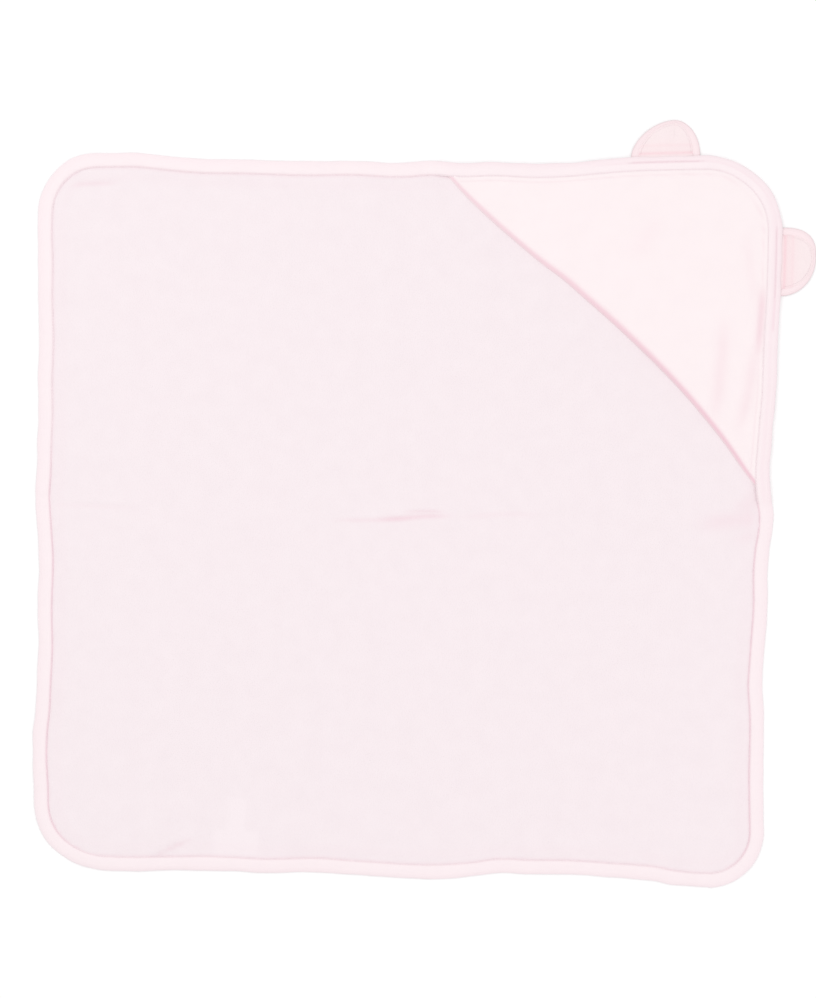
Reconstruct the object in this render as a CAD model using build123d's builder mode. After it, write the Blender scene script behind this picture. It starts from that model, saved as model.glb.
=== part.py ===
from build123d import *
import os

# Hooded baby towel, lying open and face up. Millimetres, +Z up, +Y towards the head end.
# A square of terry has a tape folded round its raw edge, and a lined hood is sewn into the
# +X +Y corner with a small round ear on each of the two outer edges. The towel folds in half
# along a crease parallel to X, so the cloth panel and its tape are each two pieces that meet
# there. The origin lies under the middle of the whole outline, ears included.

# Towel
towel_width = 750.0
towel_length = 735.0
corner_radius = 70.0
body_thickness = 2.0

# Binding tape, folded round the edge of the panel
binding_width = 15.0
binding_cloth = 0.7

# Hood: each leg runs along an outer edge, from the square corner to the mouth
hood_leg = 353.0
mouth_bow = 18.0
lining_thickness = 1.2
hood_cloth = 1.0

# Ears: each setback runs from the square corner to the middle of the ear's base
ear_width = 70.0
ear_reach = 36.0
ear_lean = 6.0
top_ear_setback = 117.0
side_ear_setback = 109.0
ear_front_thickness = 1.2
ear_back_thickness = 1.0

# Labels under the foot end
label_setback = 209.0
label_cloth = 0.3
care_label_width = 20.0
care_label_length = 59.0
blank_label_width = 46.0
blank_label_length = 26.0

# Threads
thread_width = 0.5
thread_height = 0.25
binding_stitch_margin = 1.5
ear_rim_stitch_inset = 4.0
ear_seam_inset = 6.0
ear_seam_overrun = 2.0
mouth_seam_inset = 1.5
mouth_seam_depth = 0.4

# Clearances between pieces that move apart
fold_gap = 0.6
hood_gap = 0.3
hood_step_gap = 1.0
ear_gap = 0.5

# Levels, from the surface that the towel lies on
binding_top = body_thickness + binding_cloth
lining_base = body_thickness + hood_gap
hood_base = lining_base + lining_thickness
hood_top = hood_base + hood_cloth
hood_binding_base = hood_top + hood_gap
hood_binding_top = hood_binding_base + binding_cloth
binding_stitch_inset = binding_width - binding_stitch_margin - thread_width
ear_front_base = ear_back_thickness
ear_front_top = ear_front_base + ear_front_thickness

# The towel's own middle stands off the origin by half an ear on both sides
towel = Plane(origin=(-ear_reach / 2, -ear_reach / 2, 0))
corner_x = towel_width / 2
corner_y = towel_length / 2
foot_y = -towel_length / 2

# +1 is the half at the head end, -1 is the half at the foot end
HEAD = 1
FOOT = -1

os.makedirs("parts", exist_ok=True)


def outline(inset, mode=Mode.ADD):
    """The towel's rounded outline, drawn in by inset."""
    RectangleRounded(towel_width - 2 * inset, towel_length - 2 * inset, corner_radius - inset, mode=mode)


def band(outer_inset, inner_inset):
    """A ring that follows the outline between two insets."""
    outline(outer_inset)
    outline(inner_inset, Mode.SUBTRACT)


def keep_half(half):
    """Cut the sketch back to one half of the towel, clear of the crease."""
    with Locations((0, half * (towel_length + fold_gap) / 2)):
        Rectangle(towel_width, towel_length, mode=Mode.INTERSECT)


def hood_corner(leg, mode=Mode.INTERSECT):
    """The hood's corner with its two legs on the outer edges and a bowed mouth."""
    middle = leg / 2 - mouth_bow / 2**0.5
    top_end = (corner_x - leg, corner_y)
    side_end = (corner_x, corner_y - leg)
    with BuildLine() as legs_and_mouth:
        Polyline(top_end, (corner_x, corner_y), side_end)
        ThreePointArc(side_end, (corner_x - middle, corner_y - middle), top_end)
    make_face(legs_and_mouth.edges(), mode=mode)


# Body panel: the rim inside the tape is pressed thinner, so the whole underside lies flat.
# The foot half has shallow pockets where the two labels press into the pile.
with BuildPart() as body_panel_head:
    with BuildSketch(towel):
        outline(binding_width)
        keep_half(HEAD)
    extrude(amount=body_thickness)
    with BuildSketch(towel.offset(binding_cloth)):
        band(binding_cloth, binding_width)
        keep_half(HEAD)
    extrude(amount=body_thickness - binding_cloth)
body_panel_head.part.label = "body_panel_head"
export_step(body_panel_head.part, "parts/body_panel_head.step")


def label_outline(width, length, mode=Mode.ADD):
    """A label lying from the inner edge of the foot tape towards the head."""
    seam_y = foot_y + binding_width
    with Locations((label_setback - towel_width / 2, seam_y + length / 2)):
        Rectangle(width, length, mode=mode)


with BuildPart() as body_panel_foot:
    with BuildSketch(towel):
        outline(binding_width)
        keep_half(FOOT)
    extrude(amount=body_thickness)
    with BuildSketch(towel.offset(binding_cloth)):
        band(binding_cloth, binding_width)
        keep_half(FOOT)
    extrude(amount=body_thickness - binding_cloth)
    with BuildSketch(towel):
        label_outline(care_label_width, care_label_length)
    extrude(amount=label_cloth, mode=Mode.SUBTRACT)
    with BuildSketch(towel):
        label_outline(blank_label_width, blank_label_length)
    extrude(amount=2 * label_cloth, mode=Mode.SUBTRACT)
body_panel_foot.part.label = "body_panel_foot"
export_step(body_panel_foot.part, "parts/body_panel_foot.step")

# Labels: the long one lies lowest, the wide one between it and the panel
with BuildPart() as care_label:
    with BuildSketch(towel):
        label_outline(care_label_width, care_label_length)
    extrude(amount=label_cloth)
care_label.part.label = "care_label"
export_step(care_label.part, "parts/care_label.step")

with BuildPart() as blank_label:
    with BuildSketch(towel.offset(label_cloth)):
        label_outline(blank_label_width, blank_label_length)
    extrude(amount=label_cloth)
blank_label.part.label = "blank_label"
export_step(blank_label.part, "parts/blank_label.step")

# Binding tape: a lower leg, an outer wall and an upper leg. Over the hood the wall is taller
# and the upper leg lies on top of the hood's sewn edges.
with BuildPart() as binding_head:
    with BuildSketch(towel):
        band(0, binding_width)
        keep_half(HEAD)
    extrude(amount=binding_cloth)
    with BuildSketch(towel):
        band(0, binding_cloth)
        keep_half(HEAD)
    extrude(amount=binding_top)
    with BuildSketch(towel.offset(body_thickness)):
        band(0, binding_width)
        keep_half(HEAD)
        hood_corner(hood_leg + hood_step_gap, Mode.SUBTRACT)
    extrude(amount=binding_cloth)
    with BuildSketch(towel):
        band(0, binding_cloth)
        hood_corner(hood_leg + hood_step_gap)
    extrude(amount=hood_binding_top)
    with BuildSketch(towel.offset(hood_binding_base)):
        band(0, binding_width)
        hood_corner(hood_leg + hood_step_gap)
    extrude(amount=binding_cloth)
binding_head.part.label = "binding_head"
export_step(binding_head.part, "parts/binding_head.step")

with BuildPart() as binding_foot:
    with BuildSketch(towel, towel.offset(body_thickness)):
        band(0, binding_width)
        keep_half(FOOT)
    extrude(amount=binding_cloth)
    with BuildSketch(towel):
        band(0, binding_cloth)
        keep_half(FOOT)
    extrude(amount=binding_top)
binding_foot.part.label = "binding_foot"
export_step(binding_foot.part, "parts/binding_foot.step")

# Stitching of the tape: one row on the upper leg, near its inner edge
with BuildPart() as binding_stitching_head:
    with BuildSketch(towel.offset(binding_top)):
        band(binding_stitch_inset, binding_stitch_inset + thread_width)
        keep_half(HEAD)
        hood_corner(hood_leg + hood_step_gap, Mode.SUBTRACT)
    extrude(amount=thread_height)
    with BuildSketch(towel.offset(hood_binding_top)):
        band(binding_stitch_inset, binding_stitch_inset + thread_width)
        hood_corner(hood_leg + hood_step_gap)
    extrude(amount=thread_height)
binding_stitching_head.part.label = "binding_stitching_head"
export_step(binding_stitching_head.part, "parts/binding_stitching_head.step")

with BuildPart() as binding_stitching_foot:
    with BuildSketch(towel.offset(binding_top)):
        band(binding_stitch_inset, binding_stitch_inset + thread_width)
        keep_half(FOOT)
    extrude(amount=thread_height)
binding_stitching_foot.part.label = "binding_stitching_foot"
export_step(binding_stitching_foot.part, "parts/binding_stitching_foot.step")


def mouth_seam_strip():
    """The line of the seam that closes the hood's two layers along the mouth."""
    seam_leg = hood_leg - mouth_seam_inset * 2**0.5
    outline(binding_cloth + hood_gap)
    hood_corner(seam_leg)
    hood_corner(seam_leg - thread_width * 2**0.5, Mode.SUBTRACT)


# Hood: a lining and a face cloth, joined along the mouth by a seam hidden between them
with BuildPart() as hood_lining:
    with BuildSketch(towel.offset(lining_base)):
        outline(binding_cloth + hood_gap)
        hood_corner(hood_leg)
    extrude(amount=lining_thickness)
    with BuildSketch(towel.offset(hood_base)):
        mouth_seam_strip()
    extrude(amount=-mouth_seam_depth, mode=Mode.SUBTRACT)
hood_lining.part.label = "hood_lining"
export_step(hood_lining.part, "parts/hood_lining.step")

with BuildPart() as hood_outer:
    with BuildSketch(towel.offset(hood_base)):
        outline(binding_cloth + hood_gap)
        hood_corner(hood_leg)
    extrude(amount=hood_cloth)
hood_outer.part.label = "hood_outer"
export_step(hood_outer.part, "parts/hood_outer.step")

with BuildPart() as hood_mouth_seam:
    with BuildSketch(towel.offset(hood_base)):
        mouth_seam_strip()
    extrude(amount=-mouth_seam_depth)
hood_mouth_seam.part.label = "hood_mouth_seam"
export_step(hood_mouth_seam.part, "parts/hood_mouth_seam.step")


def ear_outline(lean, inset=0, mode=Mode.ADD):
    """A round ear on its base line, drawn in by inset, with its tip shifted along the base."""
    half = ear_width / 2 - inset
    base = ear_gap
    tip = (lean, ear_reach - inset)
    with BuildLine() as rim_and_base:
        Spline((-half, base), tip, tangents=[(0, 1), (1, 0)])
        Spline(tip, (half, base), tangents=[(1, 0), (0, -1)])
        Line((half, base), (-half, base))
    make_face(rim_and_base.edges(), mode=mode)


def ear_rim_stitch(lean):
    """A row of stitches that follows the ear's round edge and stops near its base."""
    ear_outline(lean, ear_rim_stitch_inset)
    ear_outline(lean, ear_rim_stitch_inset + thread_width, Mode.SUBTRACT)


# The ears' planes: local Y points outwards from the towel, local X runs along its edge
top_ear = Plane(
    origin=towel.from_local_coords((corner_x - top_ear_setback, corner_y, 0)),
    x_dir=(1, 0, 0),
    z_dir=(0, 0, 1),
)
side_ear = Plane(
    origin=towel.from_local_coords((corner_x, corner_y - side_ear_setback, 0)),
    x_dir=(0, -1, 0),
    z_dir=(0, 0, 1),
)
ears = {"ear_top": (top_ear, ear_lean), "ear_side": (side_ear, -ear_lean)}

for ear_name, (ear_plane, lean) in ears.items():
    with BuildPart() as ear_back:
        with BuildSketch(ear_plane):
            ear_outline(lean)
        extrude(amount=ear_back_thickness)
    ear_back.part.label = ear_name + "_back"
    export_step(ear_back.part, "parts/" + ear_name + "_back.step")

    with BuildPart() as ear_front:
        with BuildSketch(ear_plane.offset(ear_front_base)):
            ear_outline(lean)
        extrude(amount=ear_front_thickness)
    ear_front.part.label = ear_name + "_front"
    export_step(ear_front.part, "parts/" + ear_name + "_front.step")

    with BuildPart() as ear_stitching:
        with BuildSketch(ear_plane.offset(ear_front_top)):
            ear_rim_stitch(lean)
        extrude(amount=thread_height)
    ear_stitching.part.label = ear_name + "_stitching"
    export_step(ear_stitching.part, "parts/" + ear_name + "_stitching.step")

# Short straight rows on the tape that hold the two ears into its outer edge
with BuildPart() as ear_seam_stitching:
    for ear_plane, lean in ears.values():
        with BuildSketch(ear_plane.offset(hood_binding_top)):
            with Locations((0, -ear_seam_inset)):
                Rectangle(ear_width + 2 * ear_seam_overrun, thread_width)
        extrude(amount=thread_height)
ear_seam_stitching.part.label = "ear_seam_stitching"
export_step(ear_seam_stitching.part, "parts/ear_seam_stitching.step")
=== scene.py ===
"""A hooded baby towel, laid open and face up on a pale floor.

Every cloth piece is cut flat in the towel's own plan first. One LaidCloth then settles all
of them in the same way, letting the edges wander and lifting the wrinkles, so the pieces
stay together. Metres, +Z up, +Y towards the head end.
"""
import logging
import math
from dataclasses import dataclass, field
from enum import Enum

import bmesh
import bpy
import numpy as np
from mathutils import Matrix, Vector


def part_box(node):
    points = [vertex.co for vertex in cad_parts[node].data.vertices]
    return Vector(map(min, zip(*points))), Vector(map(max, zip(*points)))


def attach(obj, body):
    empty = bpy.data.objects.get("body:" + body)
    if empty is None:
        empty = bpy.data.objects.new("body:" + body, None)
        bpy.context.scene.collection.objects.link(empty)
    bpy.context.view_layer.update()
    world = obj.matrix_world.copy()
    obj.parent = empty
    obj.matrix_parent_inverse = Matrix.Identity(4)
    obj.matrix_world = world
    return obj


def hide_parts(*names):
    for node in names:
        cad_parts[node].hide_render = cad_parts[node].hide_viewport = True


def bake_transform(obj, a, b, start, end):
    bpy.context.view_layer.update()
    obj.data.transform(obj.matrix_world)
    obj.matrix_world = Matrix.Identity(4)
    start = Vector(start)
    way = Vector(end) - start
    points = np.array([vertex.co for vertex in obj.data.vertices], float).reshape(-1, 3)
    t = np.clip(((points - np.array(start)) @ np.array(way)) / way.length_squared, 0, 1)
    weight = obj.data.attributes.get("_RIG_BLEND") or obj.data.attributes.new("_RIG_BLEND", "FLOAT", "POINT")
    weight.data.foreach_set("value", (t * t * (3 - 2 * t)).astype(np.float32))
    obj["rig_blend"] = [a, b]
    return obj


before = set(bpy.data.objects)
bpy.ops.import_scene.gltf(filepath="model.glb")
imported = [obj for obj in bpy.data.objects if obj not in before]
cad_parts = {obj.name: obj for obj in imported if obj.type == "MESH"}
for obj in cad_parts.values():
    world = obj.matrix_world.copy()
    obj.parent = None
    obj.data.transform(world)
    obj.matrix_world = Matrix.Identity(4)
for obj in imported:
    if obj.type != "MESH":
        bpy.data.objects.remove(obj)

LOG = logging.getLogger("hooded_towel")
MM = 0.001
CUT_UV = "cut"
# painted shade: a per-vertex share of the darker colour, laid in seams, creases, grooves, folds and along
# edges
PAINTED_SHADE = "painted_shade"
SHOW_THROUGH = "show_through"
BLEND_WEIGHT = "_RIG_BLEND"
OPENING = "opening"
RANDOM_SEED = 7
WELD_DISTANCE = 2e-6
SLIVER_EDGE = 1e-7
WHITE = (1.0, 1.0, 1.0, 1.0)


# --------------------------------------------------------------------------- small maths


def ease(share: np.ndarray) -> np.ndarray:
    """Turn a share from 0 to 1 into one that starts and stops gently."""
    share = np.clip(share, 0.0, 1.0)
    return share * share * (3.0 - 2.0 * share)


def bump(distance: np.ndarray, reach: float) -> np.ndarray:
    """A rounded bump, 1 at no distance and close to 0 past twice its reach."""
    return np.exp(-((distance / reach) ** 2))


@dataclass(frozen=True)
class Band:
    """A soft band along an edge: how far in it lies, its reach to each side and its strength."""

    at: float
    reach: float
    strength: float = 1.0

    def over(self, distance: np.ndarray) -> np.ndarray:
        """Strength of the band at each distance from the edge."""
        return self.strength * bump(distance - self.at, self.reach)


@dataclass(frozen=True)
class Ramp:
    """A soft step: where it starts and the length that it takes."""

    start: float
    length: float

    def up(self, distance: np.ndarray) -> np.ndarray:
        """0 at the start and before it, 1 from a length past it."""
        return ease((distance - self.start) / self.length)

    def down(self, distance: np.ndarray) -> np.ndarray:
        """1 up to a length before the start, 0 at the start and past it."""
        return ease((self.start - distance) / self.length)


@dataclass(frozen=True)
class Undulation:
    """A soft uneven surface: a few dozen plane waves with seeded directions."""

    shortest: float
    longest: float
    waves: int = 24
    seed: int = RANDOM_SEED
    peak: float = 1.6

    def at(self, x: np.ndarray, y: np.ndarray) -> np.ndarray:
        """Height at each place, mostly between -1 and 1.

        Args:
            x: Places along X.
            y: Places along Y.

        Returns:
            The height at each place.
        """
        rng = np.random.default_rng(self.seed)
        total = np.zeros_like(x, dtype=float)
        for _ in range(self.waves):
            length = math.exp(rng.uniform(math.log(self.shortest), math.log(self.longest)))
            turn = rng.uniform(0.0, math.pi)
            phase = rng.uniform(0.0, 2.0 * math.pi)
            along = (x * math.cos(turn) + y * math.sin(turn)) * 2.0 * math.pi / length
            total += np.sin(along + phase)
        return total * math.sqrt(2.0 / self.waves) / self.peak


# --------------------------------------------------------------------------- the plan


@dataclass(frozen=True)
class TowelPlan:
    """The towel's flat cut: a rectangle with four rounded corners, each with its own radius."""

    left: float
    right: float
    foot: float
    head: float
    crease: float
    binding_width: float = 0.015
    head_left_radius: float = 0.060
    head_right_radius: float = 0.077
    foot_left_radius: float = 0.073
    foot_right_radius: float = 0.056
    step: float = 0.0025

    @classmethod
    def from_frame(cls) -> "TowelPlan":
        """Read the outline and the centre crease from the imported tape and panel."""
        head_low, head_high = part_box("binding_head")
        foot_low, foot_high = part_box("binding_foot")
        crease = (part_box("body_panel_head")[0].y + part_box("body_panel_foot")[1].y) / 2.0
        return cls(foot_low.x, head_high.x, foot_low.y, head_high.y, crease)

    @property
    def middle(self) -> tuple[float, float]:
        """The middle of the rectangle."""
        return (self.left + self.right) / 2.0, (self.foot + self.head) / 2.0

    def corners(self) -> list[tuple[float, float, float, float]]:
        """The corners counter-clockwise from the foot's right: X, Y, radius, first angle."""
        return [
            (self.right, self.foot, self.foot_right_radius, -0.5 * math.pi),
            (self.right, self.head, self.head_right_radius, 0.0),
            (self.left, self.head, self.head_left_radius, 0.5 * math.pi),
            (self.left, self.foot, self.foot_left_radius, math.pi),
        ]

    def outline(self) -> tuple[np.ndarray, np.ndarray]:
        """Walk once round the outline, counter-clockwise.

        Returns:
            The points of the outline and the outward direction at each point.
        """
        middle_x, middle_y = self.middle
        points: list[np.ndarray] = []
        normals: list[np.ndarray] = []
        last = None
        centres = []
        for x, y, radius, first in self.corners():
            centre_x = x - math.copysign(radius, x - middle_x)
            centre_y = y - math.copysign(radius, y - middle_y)
            centres.append((np.array([centre_x, centre_y]), radius, first))
        for centre, radius, first in centres + centres[:1]:
            start = centre + radius * np.array([math.cos(first), math.sin(first)])
            if last is not None:
                count = max(2, round(float(np.linalg.norm(start - last)) / self.step))
                for k in range(1, count):
                    points.append(last + (start - last) * k / count)
                    normals.append(np.array([math.cos(first), math.sin(first)]))
                if centre is centres[0][0]:
                    break
            turns = max(8, round(0.5 * math.pi * radius / self.step))
            for k in range(turns + 1):
                angle = first + 0.5 * math.pi * k / turns
                normal = np.array([math.cos(angle), math.sin(angle)])
                points.append(centre + radius * normal)
                normals.append(normal)
            last = points[-1]
        return np.array(points), np.array(normals)

    def inset(self, x: np.ndarray, y: np.ndarray) -> np.ndarray:
        """How far inside the outline each place is."""
        middle_x, middle_y = self.middle
        result = np.full(np.shape(x), 1.0)
        for corner_x, corner_y, radius, _ in self.corners():
            beside = (x - middle_x) * (corner_x - middle_x) >= 0
            here = beside & ((y - middle_y) * (corner_y - middle_y) >= 0)
            across = np.abs(x - middle_x) - (abs(corner_x - middle_x) - radius)
            along = np.abs(y - middle_y) - (abs(corner_y - middle_y) - radius)
            outside = np.hypot(np.maximum(across, 0.0), np.maximum(along, 0.0))
            inside = np.minimum(np.maximum(across, along), 0.0)
            result = np.where(here, radius - outside - inside, result)
        return result

    def round_off(self, x: np.ndarray, y: np.ndarray, inset: float) -> tuple[np.ndarray, np.ndarray]:
        """Press a rectangular grid into the rounded outline.

        Args:
            x: Grid places along X, out to the rectangle's sides less inset.
            y: Grid places along Y.
            inset: How far the grid's border lies inside the outline.

        Returns:
            The rounded X and Y of each grid place.
        """
        middle_x, middle_y = self.middle
        new_x, new_y = x.copy(), y.copy()
        for corner_x, corner_y, radius, _ in self.corners():
            side_x = math.copysign(1.0, corner_x - middle_x)
            side_y = math.copysign(1.0, corner_y - middle_y)
            bend = radius - inset
            centre_x = corner_x - side_x * radius
            centre_y = corner_y - side_y * radius
            across = (x - centre_x) * side_x / bend
            along = (y - centre_y) * side_y / bend
            here = (across > 0) & (along > 0)
            squeeze_x = across * np.sqrt(np.maximum(1.0 - along**2 / 2.0, 0.0))
            squeeze_y = along * np.sqrt(np.maximum(1.0 - across**2 / 2.0, 0.0))
            new_x = np.where(here, centre_x + side_x * bend * squeeze_x, new_x)
            new_y = np.where(here, centre_y + side_y * bend * squeeze_y, new_y)
        return new_x, new_y


# --------------------------------------------------------------------------- how it lies


@dataclass(frozen=True)
class EdgeWander:
    """How far an edge lies outside its straight line.

    Each mark is a share of the edge's length from its low end, and millimetres outwards there.
    """

    marks: tuple[tuple[float, float], ...]

    def out(self, share: np.ndarray) -> np.ndarray:
        """Distance outwards at a share of the edge's length, on a smooth line through the marks."""
        at, out = np.array(self.marks).T
        out = out * MM
        slope = np.gradient(out, at)
        k = np.clip(np.searchsorted(at, share, side="right") - 1, 0, len(at) - 2)
        span = at[k + 1] - at[k]
        t = np.clip((share - at[k]) / span, 0.0, 1.0)
        level = (1.0 + 2.0 * t) * (1.0 - t) ** 2 * out[k] + t**2 * (3.0 - 2.0 * t) * out[k + 1]
        return level + span * (t * (1.0 - t) ** 2 * slope[k] - t**2 * (1.0 - t) * slope[k + 1])


@dataclass(frozen=True)
class Wrinkle:
    """A soft ridge of cloth between two places, given from the towel's middle."""

    start: tuple[float, float]
    end: tuple[float, float]
    height: float
    width: float
    bow: float = 0.0
    end_taper: float = 0.35

    def lift(self, x: np.ndarray, y: np.ndarray) -> np.ndarray:
        """Height of the ridge at each place, measured from the towel's middle."""
        run = np.array(self.end) - np.array(self.start)
        length = float(np.hypot(*run))
        along = ((x - self.start[0]) * run[0] + (y - self.start[1]) * run[1]) / length**2
        across = (-(x - self.start[0]) * run[1] + (y - self.start[1]) * run[0]) / length
        across = across - self.bow * 4.0 * along * (1.0 - along)
        window = ease(along / self.end_taper) * ease((1.0 - along) / self.end_taper)
        return self.height * window * bump(across, self.width)


@dataclass(frozen=True)
class LaidCloth:
    """How the flat towel lies on the floor: edges that wander, wrinkles and soft waves."""

    plan: TowelPlan
    left: EdgeWander = EdgeWander((
        (0.0, 3.2), (0.05, 2.9), (0.10, 1.2), (0.165, 3.0), (0.195, 2.1), (0.22, 0.0),
        (0.26, -1.4), (0.31, -3.1), (0.36, -2.4), (0.44, -3.6), (0.484, -1.5), (0.526, 0.0),
        (0.55, -1.2), (0.60, -2.1), (0.63, -3.0), (0.68, -2.6), (0.74, -3.9), (0.80, -2.7),
        (0.85, -3.1), (0.89, -2.2), (0.94, -3.3), (1.0, -2.0),
    ))
    right: EdgeWander = EdgeWander((
        (0.0, -11.3), (0.07, -11.3), (0.15, -12.0), (0.236, -11.3), (0.277, -13.0), (0.31, -11.5),
        (0.34, -9.8), (0.38, -7.6), (0.44, -7.2), (0.465, -5.2), (0.485, -2.5), (0.505, -1.3),
        (0.53, -3.5), (0.567, -5.6), (0.60, -3.8), (0.63, -2.0), (0.65, -0.6), (0.675, 1.1),
        (0.70, 1.7), (0.735, 2.7), (0.77, 4.0), (0.80, 5.4), (0.86, 6.9), (0.92, 8.0), (0.95, 8.6),
        (1.0, 7.0),
    ))
    head: EdgeWander = EdgeWander((
        (0.0, 3.2), (0.08, 3.3), (0.14, 3.3), (0.165, 1.2), (0.185, -0.4), (0.222, -2.6),
        (0.27, -3.0), (0.365, -5.1), (0.43, -4.6), (0.475, -6.5), (0.49, -6.5), (0.53, -4.5),
        (0.57, -6.7), (0.61, -5.8), (0.67, -7.7), (0.715, -6.4), (0.75, -3.9), (0.795, -1.2),
        (0.85, 0.2), (0.92, 0.9), (0.955, -0.3), (1.0, 0.8),
    ))
    foot: EdgeWander = EdgeWander((
        (0.0, -11.0), (0.07, -12.2), (0.12, -10.2), (0.18, -10.6), (0.25, -10.8), (0.29, -9.3),
        (0.31, -8.4), (0.40, -8.8), (0.43, -6.9), (0.47, -4.9), (0.51, -2.9), (0.55, -2.3),
        (0.59, -3.8), (0.61, -5.4), (0.63, -7.8), (0.65, -8.3), (0.67, -7.4), (0.73, -6.8),
        (0.76, -5.6), (0.79, -3.8), (0.83, -1.8), (0.855, 0.3), (0.875, 3.6), (0.90, 5.8),
        (0.95, 6.4), (1.0, 6.2),
    ))
    wrinkles: tuple[Wrinkle, ...] = (
        Wrinkle((-0.350, 0.0125), (-0.272, 0.0095), 0.0008, 0.0030),
        Wrinkle((-0.345, 0.3375), (-0.285, 0.3405), 0.0012, 0.0032),
        Wrinkle((-0.266, -0.3570), (-0.204, -0.3300), 0.0020, 0.0034, 0.0015),
        Wrinkle((0.333, -0.2200), (0.349, -0.3000), 0.0012, 0.0060, 0.004),
        Wrinkle((0.318, -0.2450), (0.336, -0.3120), 0.0008, 0.0060, 0.003),
    )
    creases: tuple[Wrinkle, ...] = (
        Wrinkle((-0.082, -0.0042), (0.018, 0.0022), 0.00060, 0.0022, -0.0004),
        Wrinkle((-0.038, -0.0006), (0.056, 0.0052), 0.00115, 0.0026, 0.0004),
        Wrinkle((-0.006, 0.0080), (0.046, 0.0095), 0.00080, 0.0016),
        Wrinkle((0.040, 0.0034), (0.150, 0.0040), 0.00030, 0.0030),
        Wrinkle((-0.372, 0.0068), (-0.262, 0.0038), 0.00022, 0.0024),
        Wrinkle((-0.348, 0.3345), (-0.288, 0.3385), 0.00070, 0.0022),
        Wrinkle((-0.262, -0.3592), (-0.206, -0.3335), 0.00075, 0.0018, 0.0015),
        Wrinkle((0.374, 0.0280), (0.330, 0.0120), 0.00035, 0.0070, 0.001),
        Wrinkle((0.376, 0.0040), (0.290, -0.0060), 0.00060, 0.0085, -0.002),
        Wrinkle((0.374, -0.0120), (0.330, -0.0190), 0.00030, 0.0060),
        Wrinkle((0.3615, 0.0600), (0.3605, 0.0050), 0.00080, 0.0050),
    )
    waves: Undulation = Undulation(0.060, 0.220)
    wave_height: float = 0.00045
    edge_share: float = 0.25
    edge_ramp: Ramp = Ramp(0.011, 0.012)
    press_fade: float = 0.006

    def shift(self, x: np.ndarray, y: np.ndarray) -> tuple[np.ndarray, np.ndarray]:
        """How far each place of the flat cut lies off its own spot, along X and Y."""
        across = (x - self.plan.left) / (self.plan.right - self.plan.left)
        along = (y - self.plan.foot) / (self.plan.head - self.plan.foot)
        shift_x = across * self.right.out(along) - (1.0 - across) * self.left.out(along)
        shift_y = along * self.head.out(across) - (1.0 - along) * self.foot.out(across)
        return shift_x, shift_y

    def lift(self, x: np.ndarray, y: np.ndarray) -> np.ndarray:
        """How far the cloth lies off the floor at each place."""
        middle_x, middle_y = self.plan.middle
        total = self.wave_height * (1.0 + self.waves.at(x, y)).clip(0.0)
        for wrinkle in self.wrinkles:
            total = total + wrinkle.lift(x - middle_x, y - middle_y)
        inside = self.edge_ramp.up(self.plan.inset(x, y))
        return total * (self.edge_share + (1.0 - self.edge_share) * inside)

    def pressed(self, x: np.ndarray, y: np.ndarray) -> np.ndarray:
        """Depth of the creases pressed into the panel's face at each place."""
        middle_x, middle_y = self.plan.middle
        total = np.zeros_like(x)
        for crease in self.creases:
            total = total + crease.lift(x - middle_x, y - middle_y)
        return total * Ramp(self.plan.binding_width, self.press_fade).up(self.plan.inset(x, y))

    def settle(self, points: np.ndarray) -> np.ndarray:
        """Lay flat points down.

        Args:
            points: Places in the flat cut, the last axis X, Y and height over the floor.

        Returns:
            The same points where they come to lie.
        """
        shift_x, shift_y = self.shift(points[..., 0], points[..., 1])
        lift = self.lift(points[..., 0], points[..., 1])
        return points + np.stack([shift_x, shift_y, lift], axis=-1)


# --------------------------------------------------------------------------- meshes


def finish_mesh(obj: bpy.types.Object, weld: bool = False) -> None:
    """Turn a closed mesh's faces outwards and shade it smooth, welding its doubles first."""
    work = bmesh.new()
    work.from_mesh(obj.data)
    if weld:
        bmesh.ops.remove_doubles(work, verts=work.verts, dist=WELD_DISTANCE)
        bmesh.ops.dissolve_degenerate(work, edges=work.edges, dist=SLIVER_EDGE)
    bmesh.ops.recalc_face_normals(work, faces=work.faces)
    work.to_mesh(obj.data)
    work.free()
    obj.data.shade_smooth()


def new_object(
    name: str, points: np.ndarray, faces: list, uv: np.ndarray | None = None
) -> bpy.types.Object:
    """Make a mesh object.

    Args:
        name: The piece's name.
        points: One row for each vertex.
        faces: Vertex numbers of each face.
        uv: The cut's own coordinates, one row for each vertex.

    Returns:
        The linked object.
    """
    mesh = bpy.data.meshes.new(name)
    mesh.from_pydata(points.tolist(), [], faces)
    if uv is not None:
        layer = mesh.uv_layers.new(name=CUT_UV)
        corners = np.zeros(len(mesh.loops), np.int32)
        mesh.loops.foreach_get("vertex_index", corners)
        layer.data.foreach_set("uv", uv[corners].astype(np.float32).ravel())
    obj = bpy.data.objects.new(name, mesh)
    bpy.context.scene.collection.objects.link(obj)
    return obj


def paint(obj: bpy.types.Object, attribute: str, values: np.ndarray) -> None:
    """Store one number for each vertex under an attribute's name."""
    layer = obj.data.attributes.new(attribute, "FLOAT", "POINT")
    layer.data.foreach_set("value", np.clip(values, 0.0, 1.0).astype(np.float32).ravel())


def paint_sheet(obj: bpy.types.Object, attribute: str, values: np.ndarray) -> None:
    """Store the same numbers on a sheet's upper and under side."""
    paint(obj, attribute, np.concatenate([values.ravel(), values.ravel()]))


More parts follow.
